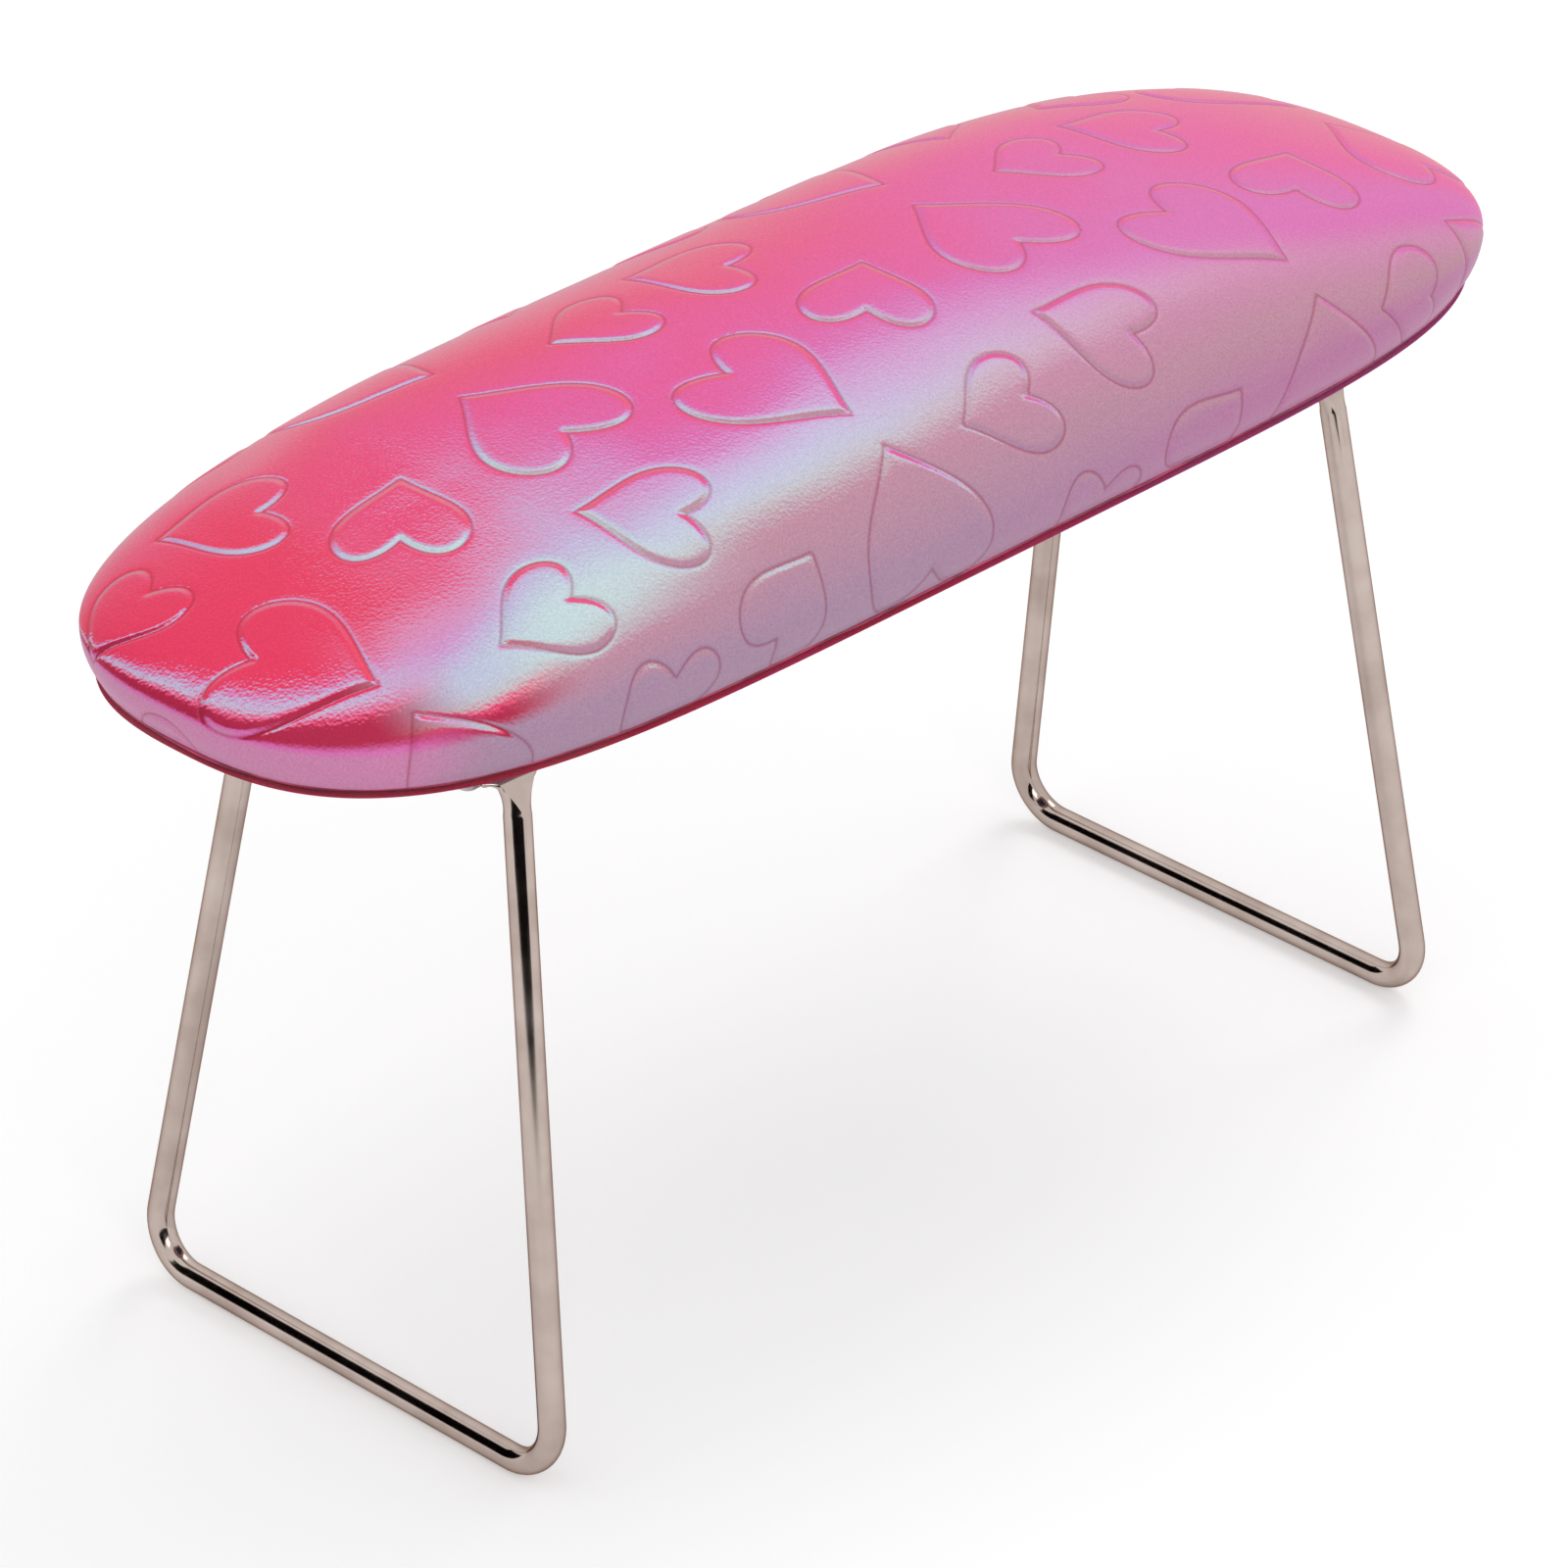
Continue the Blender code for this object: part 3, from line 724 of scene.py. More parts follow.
    def build(self) -> Material:
        """Makes the material, with its colour and its painted highlight, shade and reflection set by slope and
        place, so that they stay put in every view.

        Returns:
            The material.
        """
        made, tree = new_material(self.name)
        place = add_node(tree, "TexCoord").outputs["Object"]
        depth = add_node(tree, "Attribute", attribute_name="heart_depth").outputs["Fac"]
        along = add_node(tree, "SeparateXYZ", {0: place}).outputs["X"]
        grain = self.relief(tree, place, depth)
        colour = self.pearl(tree, along, self.slope(tree, place, along, grain))
        # Painted shade darkens the groove round each heart, so that it reads as a thin red line
        off_groove = add_node(tree, "Math", {0: depth, 1: -self.groove[1]}, operation="ADD")
        aside = add_node(tree, "Math", {0: off_groove}, operation="ABSOLUTE")
        fade = {0: aside, 1: 0.0, 2: self.line_width, 3: self.line_shade, 4: 0.0}
        shade = add_node(tree, "MapRange", fade, interpolation_type="SMOOTHSTEP")
        # Pearl flakes lie in clouds of 0.4 mm, drawn coarser than the flakes themselves so that they show
        fine = add_node(tree, "TexNoise", {"Vector": place, "Scale": 2600.0, "Detail": 3.0})
        limits = {0: fine, 1: NOISE_LOW, 2: NOISE_HIGH, 3: self.speck[0], 4: self.speck[1]}
        speck = add_node(tree, "MapRange", limits)
        for part, layer in ((shade, linear(self.line)), (1.0, speck)):
            layers = {0: part, 6: colour, 7: layer}
            colour = add_node(tree, "Mix", layers, data_type="RGBA", blend_type="MULTIPLY").outputs[2]
        return end_material(made, {
            "Base Color": colour,
            "Roughness": self.roughness,
            "IOR": 1.5,
            "Specular IOR Level": self.specular,
            "Normal": grain,
        })


@dataclass(frozen=True)
class EdgeFilm:
    """The same vinyl folded hard along the rim, coloured dark crimson as painted shade of the narrow gap under the
    rim.
    """

    name: str = "folded_vinyl_edge"
    # dark and light bound the blotched painted shade of the gap under the rim
    dark: str = "#7E1438"
    light: str = "#C43C68"

    def build(self) -> Material:
        """Makes the material, blotched along the seam as a hand-turned edge is.

        Returns:
            The material.
        """
        made, tree = new_material(self.name)
        place = add_node(tree, "TexCoord").outputs["Object"]
        # Blotches of 6 mm, the spacing of the folds that the turned edge is pressed into
        blotch = add_node(tree, "TexNoise", {"Vector": place, "Scale": 160.0, "Detail": 3.0})
        tint = add_node(tree, "ValToRGB", {0: blotch}, stops=[(0.38, self.dark), (0.68, self.light)])
        return end_material(made, {"Base Color": tint, "Roughness": 0.45, "IOR": 1.5})


@dataclass(frozen=True)
class BrightNickel:
    """Bright nickel over drawn steel wire: a warm mirror with faint lines along the wire."""

    name: str = "bright_nickel_plate"
    colour: str = "#C6B7AF"
    shade: str = "#B3A299"
    edge: str = "#A8968D"
    roughness: tuple[float, float] = (0.09, 0.16)
    line_scale: tuple[float, float, float] = (3000.0, 3000.0, 60.0)

    def build(self) -> Material:
        """Makes the material, a little duller in patches, as thin plating is.

        Returns:
            The material.
        """
        made, tree = new_material(self.name)
        place = add_node(tree, "TexCoord").outputs["Object"]
        # Patches of 11 mm, and lines 0.33 mm apart and 17 mm long, drawn coarser than a die's so that they show
        patch = add_node(tree, "TexNoise", {"Vector": place, "Scale": 90.0, "Detail": 4.0})
        tint = add_node(tree, "ValToRGB", {0: patch}, stops=[(0.35, self.shade), (0.65, self.colour)])
        bright, dull = self.roughness
        rough = add_node(tree, "MapRange", {0: patch, 1: NOISE_LOW, 2: NOISE_HIGH, 3: bright, 4: dull})
        stretched = add_node(tree, "Mapping", {0: place, "Scale": self.line_scale})
        drawn = add_node(tree, "TexNoise", {"Vector": stretched, "Scale": 1.0, "Detail": 2.0})
        bump = add_node(tree, "Bump", {"Strength": 0.15, "Distance": 0.01 * MM, "Height": drawn})
        return end_material(made, {
            "Base Color": tint,
            "Metallic": 1.0,
            "Roughness": rough,
            "Specular Tint": linear(self.edge),
            "Normal": bump,
        })


@dataclass(frozen=True)
class ZincSteel:
    """Zinc-plated sheet and screw steel: a duller, bluish grey metal with a fine spangle."""

    name: str = "zinc_plated_steel"
    colour: str = "#C2BFBB"
    shade: str = "#A5A29F"
    spangle: float = 2.0 * MM

    def build(self) -> Material:
        """Makes the material, mottled at the 2 mm size of zinc spangle.

        Returns:
            The material.
        """
        made, tree = new_material(self.name)
        place = add_node(tree, "TexCoord").outputs["Object"]
        mottle = add_node(tree, "TexVoronoi", {"Vector": place, "Scale": 1 / self.spangle})
        tint = add_node(tree, "ValToRGB", {0: mottle}, stops=[(0.1, self.colour), (0.8, self.shade)])
        rough = add_node(tree, "MapRange", {0: mottle, 1: 0.0, 2: 1.0, 3: 0.24, 4: 0.38})
        return end_material(made, {"Base Color": tint, "Metallic": 1.0, "Roughness": rough})


@dataclass(frozen=True)
class SpunLining:
    """Spun-bonded polypropylene lining: black, matt, with the dimpled grid of its hot press."""

    name: str = "spun_bonded_lining"
    colour: str = "#2B2A2C"
    shade: str = "#1C1B1D"
    dimple: float = 1.4 * MM

    def build(self) -> Material:
        """Makes the material with press dimples, drawn 1.4 mm apart as on the real cloth.

        Returns:
            The material.
        """
        made, tree = new_material(self.name)
        place = add_node(tree, "TexCoord").outputs["Object"]
        dots = add_node(tree, "TexVoronoi", {"Vector": place, "Scale": 1 / self.dimple, "Randomness": 0.15})
        # The fibres' tangle shows as clouds of about 0.5 mm
        fibres = add_node(tree, "TexNoise", {"Vector": place, "Scale": 1900.0, "Detail": 4.0})
        tint = add_node(tree, "ValToRGB", {0: fibres}, stops=[(0.35, self.shade), (0.7, self.colour)])
        bump = add_node(tree, "Bump", {"Strength": 0.6, "Distance": 0.12 * MM, "Height": dots})
        return end_material(made, {"Base Color": tint, "Roughness": 0.92, "Normal": bump, "Sheen Weight": 0.2})


@dataclass(frozen=True)
class CutFoam:
    """Cut polyurethane foam: cream, open cells of about half a millimetre."""

    name: str = "polyurethane_foam"
    colour: str = "#E9DFC4"
    shade: str = "#CDBE98"
    cell: float = 0.5 * MM

    def build(self) -> Material:
        """Makes the material with its cells.

        Returns:
            The material.
        """
        made, tree = new_material(self.name)
        place = add_node(tree, "TexCoord").outputs["Object"]
        cells = add_node(tree, "TexVoronoi", {"Vector": place, "Scale": 1 / self.cell})
        tint = add_node(tree, "ValToRGB", {0: cells}, stops=[(0.2, self.shade), (0.7, self.colour)])
        bump = add_node(tree, "Bump", {"Strength": 0.7, "Distance": 0.2 * MM, "Height": cells})
        return end_material(made, {"Base Color": tint, "Roughness": 0.95, "Normal": bump})


@dataclass(frozen=True)
class FibreBoard:
    """Sawn medium-density fibreboard: tan, with short darker fibres."""

    name: str = "fibre_board"
    colour: str = "#B08A5E"
    shade: str = "#8C6A44"
    fibre_scale: tuple[float, float, float] = (700.0, 2200.0, 2200.0)

    def build(self) -> Material:
        """Makes the material with fibre bundles 1.4 mm long and 0.45 mm thick.

        Returns:
            The material.
        """
        made, tree = new_material(self.name)
        place = add_node(tree, "TexCoord").outputs["Object"]
        stretched = add_node(tree, "Mapping", {0: place, "Scale": self.fibre_scale})
        fibres = add_node(tree, "TexNoise", {"Vector": stretched, "Scale": 1.0, "Detail": 5.0})
        tint = add_node(tree, "ValToRGB", {0: fibres}, stops=[(0.35, self.shade), (0.65, self.colour)])
        return end_material(made, {"Base Color": tint, "Roughness": 0.85})


# Sub-assemblies


@dataclass
class CushionCover:
    """The film over the dome, strained over the foam, embossed, and rolled in at its lower edge.

    Attributes:
        roll: Inset and rise of each step of the rolled edge.
        coarse: The coarse copy's lines along a side and round an end, and its steps over the dome and below it.
        swell_cap: Most that the simulation may move a point.
        measured_depth: Most that the stored distance inside a heart may be.
    """

    form: PadForm
    pattern: HeartPattern
    side_steps: int = 270
    end_steps: int = 200
    dome_steps: int = 92
    wall_steps: int = 9
    roll: tuple[tuple[float, float], ...] = ((0.15 * MM, -0.35 * MM), (0.7 * MM, -0.5 * MM), (1.5 * MM, 0.4 * MM))
    coarse: tuple[int, int, int, int] = (30, 16, 12, 2)
    pressure: float = 4.0
    frames: int = 20
    swell_cap: float = 0.8 * MM
    unevenness: float = 0.12 * MM
    unevenness_scale: float = 38.0
    measured_depth: float = 5 * MM
    fill: float = 0.9

    def skin(self, lines: Lines, side_steps: int) -> tuple[np.ndarray, list[tuple[int, ...]], np.ndarray]:
        """Joins the lines into one open skin, with the ridge's points shared.

        Args:
            lines: Lines from the ridge outwards.
            side_steps: Lines along each side.

        Returns:
            The points, the faces, and the point number of each line's steps.
        """
        count, steps = lines.points.shape[:2]
        pitch = 2 * self.form.ridge / side_steps
        ridge = np.rint((self.form.ridge - lines.base) / pitch).astype(int)
        ridge_points = np.zeros((side_steps + 1, 3))
        ridge_points[ridge] = lines.points[:, 0]
        numbers = np.empty((count, steps), int)
        numbers[:, 0] = ridge
        numbers[:, 1:] = side_steps + 1 + np.arange(count * (steps - 1)).reshape(count, steps - 1)
        points = np.concatenate([ridge_points, lines.points[:, 1:].reshape(-1, 3)])
        faces: list[tuple[int, ...]] = []
        for i in range(count):
            near, after = numbers[i].tolist(), numbers[(i + 1) % count].tolist()
            for j in range(steps - 1):
                corners = (near[j], near[j + 1], after[j + 1], after[j])
                faces.append(corners[:3] if near[j] == after[j] else corners)
        return points, faces, numbers

    def strain(self) -> np.ndarray:
        """Simulates the film as cloth over pressed foam, pinned at its lower edge, on a coarse copy.

        Returns:
            How far each point of the coarse lines moves, by line and step.
        """
        lines = self.form.lines(*self.coarse)
        points, faces, numbers = self.skin(lines, self.coarse[0])
        trial = add_mesh("strained_film", points, faces)
        pinned = trial.vertex_groups.new(name="rim")
        pinned.add(numbers[:, -1].tolist(), 1.0, "REPLACE")
        cloth = trial.modifiers.new("strain", "CLOTH")
        cloth.settings.vertex_group_mass = "rim"
        cloth.settings.quality = 6
        cloth.settings.use_pressure = True
        cloth.settings.uniform_pressure_force = self.pressure
        cloth.settings.effector_weights.gravity = 0.0
        cloth.point_cache.frame_start, cloth.point_cache.frame_end = 1, self.frames
        scene = bpy.context.scene
        for step in range(1, self.frames + 1):
            scene.frame_set(step)
        settled = trial.evaluated_get(bpy.context.evaluated_depsgraph_get())
        moved = np.empty(len(points) * 3)
        settled.data.vertices.foreach_get("co", moved)
        offset = moved.reshape(-1, 3) - points
        bpy.data.objects.remove(trial)
        scene.frame_set(1)
        most = float(np.linalg.norm(offset, axis=1).max())
        LOG.info("strained film: moved %.2f mm at most before the cap", most / MM)
        offset *= min(1.0, self.swell_cap / max(most, 1e-9))
        return offset[numbers]

    def carry_over(self, coarse: np.ndarray) -> np.ndarray:
        """Spreads the coarse movement over the fine lines.

        Args:
            coarse: Movement by coarse line and step.

        Returns:
            Movement by fine line and step.
        """
        side_steps, end_steps, dome_steps, wall_steps = self.coarse
        columns, at = [], 0
        for fine, rough in ((self.end_steps, end_steps), (self.side_steps, side_steps)) * 2:
            columns.append(at + np.arange(fine) / fine * rough)
            at += rough
        column = np.concatenate(columns)
        low = np.floor(column).astype(int)
        part = (column - low)[:, None, None]
        across = coarse[low % at] * (1 - part) + coarse[(low + 1) % at] * part
        dome = np.linspace(0, dome_steps, self.dome_steps + 1)
        wall = dome_steps + wall_steps * np.arange(1, self.wall_steps + 1) / self.wall_steps
        step = np.concatenate([dome, wall])
        under = np.minimum(np.floor(step).astype(int), dome_steps + wall_steps - 1)
        part = (step - under)[None, :, None]
        return across[:, under] * (1 - part) + across[:, under + 1] * part

    def roll_in(self, lines: Lines) -> None:
        """Rolls the film's lower edge inwards.

        Args:
            lines: Lines from the ridge outwards, which get the roll's steps.
        """
        outward = np.stack([np.cos(lines.turn), np.sin(lines.turn)], 1)
        rolled = []
        for inset, up in self.roll:
            ring = lines.points[:, -1].copy()
            ring[:, :2] -= outward * inset
            ring[:, 2] += up
            rolled.append(ring)
        lines.points = np.concatenate([lines.points, np.stack(rolled, 1)], 1)
        extra = lines.across[:, -1:] + np.arange(1, len(rolled) + 1) * MM
        lines.across = np.concatenate([lines.across, extra], 1)

    def build(self, finish: Material) -> Object:
        """Args:
            finish: Material of the cover.

        Returns:
            The cover.
        """
        lines = self.form.lines(self.side_steps, self.end_steps, self.dome_steps, self.wall_steps)
        lines.points += self.carry_over(self.strain())
        edge = lines.points.shape[1] - 1
        self.roll_in(lines)
        points, faces, numbers = self.skin(lines, self.side_steps)
        # The embossing fades out before the film turns under
        fade = np.ones(lines.points.shape[1])
        fade[edge - 1 :] = 0.0
        fade[edge - 2] = 0.5
        depth_grid = self.pattern.depth_inside(*lines.unwrapped)
        depth, relief, held = np.zeros((3, len(points)))
        depth[numbers] = depth_grid
        relief[numbers] = self.pattern.relief(depth_grid) * fade
        held[numbers] = np.broadcast_to(fade, numbers.shape)
        cover = make_piece("pearl_cover", points, faces, finish, "top_cover", 180.0, closed=False)
        normals = np.empty(len(points) * 3)
        cover.data.vertices.foreach_get("normal", normals)
        soft = noise_at(points, self.unevenness_scale) * self.unevenness
        moved = points + normals.reshape(-1, 3) * (relief + soft * held)[:, None]
        cover.data.vertices.foreach_set("co", moved.ravel())
        cover.data.update()
        measured = cover.data.attributes.new("heart_depth", "FLOAT", "POINT")
        measured.data.foreach_set("value", np.clip(depth, -self.measured_depth, self.measured_depth))
        return cover


@dataclass
class SeamWelt:
    """The hard-folded film edge under the rim, whose dark colour is painted shade of the gap there."""

    form: PadForm
    diameter: float = 0.65 * MM
    height: float = 0.1405
    wave: float = 0.30 * MM
    wave_scale: float = 90.0
    sides: int = 10
    side_steps: int = 200
    end_steps: int = 150

    def build(self, finish: Material) -> Object:
        """Builds the welt, slightly uneven as a turned edge is.

        Args:
            finish: Material of the welt.

        Returns:
            The welt.
        """
        radius = self.diameter / 2
        rings = []
        for step in range(self.sides):
            turn = 2 * pi * step / self.sides
            inset = self.form.rim_tuck + radius + cos(turn) * radius
            ring = self.form.ring(inset, self.height + sin(turn) * radius, self.side_steps, self.end_steps)
            ring[:, 2] += noise_at([(x, y, 0.3) for x, y, _ in ring], self.wave_scale) * self.wave
            rings.append(ring)
        faces = skin_faces(self.sides, len(rings[0]), closed_rows=True)
        return make_piece("edge_welt", np.concatenate(rings), faces, finish, "rim_welt", 180.0)


@dataclass
class UnderCover:
    """The film drawn in under the pad, gathered round the ends and turned in below the board."""

    form: PadForm
    film: float = 1.3 * MM
    top: float = 0.1390
    bottom: float = 0.1287
    slope_run: float = 0.0197
    turn_in: float = 0.0051
    belly: float = -0.10 * MM
    side_steps: int = 110
    end_steps: int = 190
    slope_steps: int = 8
    turn_steps: int = 4
    pleats_per_end: int = 24
    pleat_depth: float = 0.30 * MM
    drift_scale: float = 60.0
    fill: float = 0.8

    def section(self) -> list[tuple[float, float, float]]:
        """Walks the cover's section from the rim inwards and back inside.

        Returns:
            Inset, height and share of the gathers at each place.
        """
        # The gathers are deepest two thirds of the way down the slope, and fade out below the board
        outer = []
        for step in range(self.slope_steps + 1):
            t = step / self.slope_steps
            sag = self.belly * 4 * t * (1 - t)
            inset = self.form.rim_tuck + self.slope_run * t - sag
            outer.append((inset, self.top + (self.bottom - self.top) * t - sag, t * (1.3 - t)))
        slope_end = self.form.rim_tuck + self.slope_run
        for step in range(1, self.turn_steps + 1):
            outer.append((slope_end + self.turn_in * step / self.turn_steps, self.bottom, 0.3 - 0.06 * step))
        back = [
            (inset + self.film * 0.7, height + self.film * 0.8, gather)
            for inset, height, gather in outer[1 : -self.turn_steps]
        ]
        top = [(self.form.rim_tuck + self.film, self.top, 0.0)]
        inside = self.bottom + self.film
        inner = top + back + [(slope_end + self.film, inside, 0.0), (outer[-1][0], inside, 0.0)]
        return outer + inner[::-1]

    def build(self, finish: Material) -> Object:
        """Args:
            finish: Material of the cover.

        Returns:
            The lower cover.
        """
        base, turn = self.form.rays(self.side_steps, self.end_steps)
        at_end = smooth_step(np.abs(np.cos(turn)) * 1.6)
        pleat = np.sin(turn * self.pleats_per_end * 2) * (0.35 + 0.65 * at_end)
        drift = noise_at([(b, cos(t) * 0.1, sin(t) * 0.1) for b, t in zip(base, turn)], self.drift_scale)
        # The gathers hang outwards only, so that none dips into the foam
        hang = pleat * at_end * 0.8 + drift * 0.4 - 1.1
        rings = []
        for inset, height, gather in self.section():
            ring = self.form.ring(inset, height, self.side_steps, self.end_steps)
            ring[:, 2] += hang * self.pleat_depth * gather * 2
            rings.append(ring)
        points = np.concatenate(rings)
        faces = skin_faces(len(rings), len(rings[0]), closed_rows=True)
        under = make_piece("gathered_underside", points, faces, finish, "under_cover", 60.0)
        return under


@dataclass
class BottomLining:
    """Thin cloth stretched over the middle of the underside."""

    form: PadForm
    inset: float = 0.0238
    height: float = 0.1281
    ripple: float = 0.12 * MM
    ripple_scale: float = 70.0
    spine_share: float = 0.6
    rings: int = 18
    side_steps: int = 90
    end_steps: int = 60

    def build(self, finish: Material) -> Object:
        """Args:
            finish: Material of the lining.

        Returns:
            The lining.
        """
        outline = self.form.ring(self.inset, self.height, self.side_steps, self.end_steps)
        spine = outline * (self.spine_share, 0.0, 1.0)
        rows = []
        for step in range(self.rings):
            share = 1 - step / self.rings
            row = outline * share + spine * (1 - share)
            row[:, 2] = self.height + noise_at(row, self.ripple_scale) * self.ripple
            rows.append(row)
        points = np.concatenate(rows)
        faces = skin_faces(self.rings, len(outline), closed_rows=False)
        faces.append(tuple(range(len(points) - len(outline), len(points))))
        lining = make_piece("lining_cloth", points, faces, finish, "bottom_lining", 180.0, closed=False)
        return lining


@dataclass
class WireLeg:
    """One leg: a single bent wire, its ends pressed flat, folded in under the pad and screwed up.

    Attributes:
        pressed_run: Length below the fold over which the press runs out to round wire.
        flat_corner: Angle in degrees, round the section, at which the pressed flats end.
        fold_spread: Share of the tab's extra width that is left where the fold ends.
    """

    side: Side
    wire: float = 4.9 * MM
    top_x: float = 0.1024
    top_y: float = 0.0306
    tab_height: float = 0.1281
    foot_x: float = 0.11331
    foot_y: float = 0.05046
    foot_bend: float = 9.0 * MM
    tab_bend: float = 1.5 * MM
    tab_width: float = 13.0 * MM
    tab_thickness: float = 1.2 * MM
    tab_length: float = 16.5 * MM
    pressed_run: float = 5.6 * MM
    flat_corner: float = 32.0
    fold_spread: float = 0.4
    sides: int = 32
    bend_steps: int = 8
    press_steps: int = 10
    foot_steps: int = 16
    run_steps: int = 8

    @staticmethod
    def bend(before: Vector, corner: Vector, after: Vector, radius: float, steps: int) -> list[Vector]:
        """Rounds the corner between two straight runs.

        Args:
            before: A point on the first run.
            corner: Where the runs would meet.
            after: A point on the second run.
            radius: Radius of the bend.
            steps: Steps round the bend.

        Returns:
            Points of the bend.
        """
        into, out = (corner - before).normalized(), (after - corner).normalized()
        turn = into.angle(out)
        start = corner - into * radius * tan(turn / 2)
        inward = (out - into * into.dot(out)).normalized()
        centre = start + inward * radius
        arc = [turn * step / steps for step in range(steps + 1)]
        return [centre - inward * radius * cos(a) + into * radius * sin(a) for a in arc]

    def path(self) -> list[tuple[Vector, float, float]]:
        """Walks the wire's centreline from tab to tab.

        Returns:
            Each point with how far the wire is pressed flat and spread wide there, both from 0 to 1.
        """
        x, foot_height = self.side.value * self.top_x, self.wire / 2
        tab_start = Vector((x, self.top_y - self.tab_length, self.tab_height))
        fold = Vector((x, self.top_y, self.tab_height))
        foot = Vector((self.side.value * self.foot_x, self.foot_y, foot_height))
        down = (foot - fold).normalized()
        bend = self.bend(tab_start, fold, foot, self.tab_bend, self.bend_steps)
        half = [(tab_start, 1.0, 1.0)]
        narrowing = (1 - self.fold_spread) / self.bend_steps
        half += [(point, 1.0, 1 - narrowing * i) for i, point in enumerate(bend)]
        for step in range(1, self.press_steps + 1):
            left = 1 - step / self.press_steps
            point = bend[-1] + down * self.pressed_run * step / self.press_steps
            half.append((point, left, self.fold_spread * left**2))
        across = Vector((foot.x, -foot.y, foot.z))
        rounded = self.bend(fold, foot, across, self.foot_bend, self.foot_steps)
        start = half[-1][0]
        half += [(start.lerp(rounded[0], step / self.run_steps), 0.0, 0.0) for step in range(1, self.run_steps)]
        half += [(point, 0.0, 0.0) for point in rounded]
        return half + [(Vector((p.x, -p.y, p.z)), pressed, wide) for p, pressed, wide in reversed(half)]

    def section(self, centre: Vector, tangent: Vector, pressed: float, wide: float) -> list[Vector]:
        """Draws the wire's section, round or pressed between two flats that start as a V.

        Args:
            centre: Middle of the section.
            tangent: Direction of the wire.
            pressed: How far it is pressed, from 0 to 1.
            wide: How far it is spread, from 0 to 1.

        Returns:
            Points round the section.
        """
        side = (Vector((1, 0, 0)) - tangent * tangent.x).normalized()
        thin = tangent.cross(side)
        radius, quarter = self.wire / 2, self.sides // 4
        if pressed == 0:
            turns = [2 * pi * i / self.sides for i in range(self.sides)]
            return [centre + side * radius * cos(turn) + thin * radius * sin(turn) for turn in turns]
        half_side = radius + (self.tab_width / 2 - radius) * wide
        first = pi / 2 - 2 * pi / self.sides
        corner = first + (radians(self.flat_corner) - first) * min(1.0, pressed * 1.15)
        half_thin = radius * sin(first) + (self.tab_thickness / 2 - radius * sin(first)) * pressed**0.9
        full = half_thin / sin(corner)
        ring = []
        for i in range(self.sides):
            if i in (quarter, 3 * quarter):
                ring.append(centre + thin * half_thin * (1 if i == quarter else -1))
                continue
            sign = 1 if i < quarter or i > 3 * quarter else -1
            offset = (i + quarter) % self.sides - quarter if sign > 0 else i - 2 * quarter
            turn = offset / (quarter - 1) * corner
            ring.append(centre + side * sign * half_side * cos(turn) + thin * sign * full * sin(turn))
        return ring

    def build(self, finish: Material) -> Object:
        """Builds the leg.

        Args:
            finish: Material of the wire.

        Returns:
            The leg.
        """
        path = self.path()
        points: list[Vector] = []
        for i, (point, pressed, wide) in enumerate(path):
            before, after = path[max(i - 1, 0)][0], path[min(i + 1, len(path) - 1)][0]
            points += self.section(point, (after - before).normalized(), pressed, wide)
        faces = skin_faces(len(path), self.sides, closed_rows=False, capped=True)
        name, node = "wire_leg_" + self.side.word, "leg_frame_" + self.side.word
        return make_piece(name, points, faces, finish, node, 22.0)


@dataclass
class MountingPlate:
    """A steel strap with round corners and broken edges, between the two ends of one leg."""

    side: Side
    middle_x: float = 0.1024
    width: float = 14.8 * MM
    length: float = 53.6 * MM
    bottom: float = 0.1260
    thickness: float = 1.5 * MM
    corner: float = 1.8 * MM
    edge: float = 0.25 * MM
    corner_steps: int = 8

    def build(self, finish: Material) -> Object:
        """Builds the plate.

        Args:
            finish: Material of the plate.

        Returns:
            The plate.
        """
        half_x, half_y = self.width / 2, self.length / 2
        broken = ((self.edge, 0.0), (self.edge * 0.3, self.edge * 0.3), (0.0, self.edge))
        levels = broken + tuple((inset, self.thickness - up) for inset, up in reversed(broken))
        points = []
        for inset, up in levels:
            radius = self.corner - inset
            for number, (sx, sy) in enumerate(((1, 1), (-1, 1), (-1, -1), (1, -1))):
                for step in range(self.corner_steps + 1):
                    turn = pi / 2 * (number + step / self.corner_steps)
                    x = sx * (half_x - self.corner) + radius * cos(turn)
                    y = sy * (half_y - self.corner) + radius * sin(turn)
                    points.append((self.side.value * self.middle_x + x, y, self.bottom + up))
        faces = skin_faces(len(levels), 4 * (self.corner_steps + 1), closed_rows=False, capped=True)
        name, node = "steel_plate_" + self.side.word, "mounting_plate_" + self.side.word
        return make_piece(name, points, faces, finish, node, 50.0)


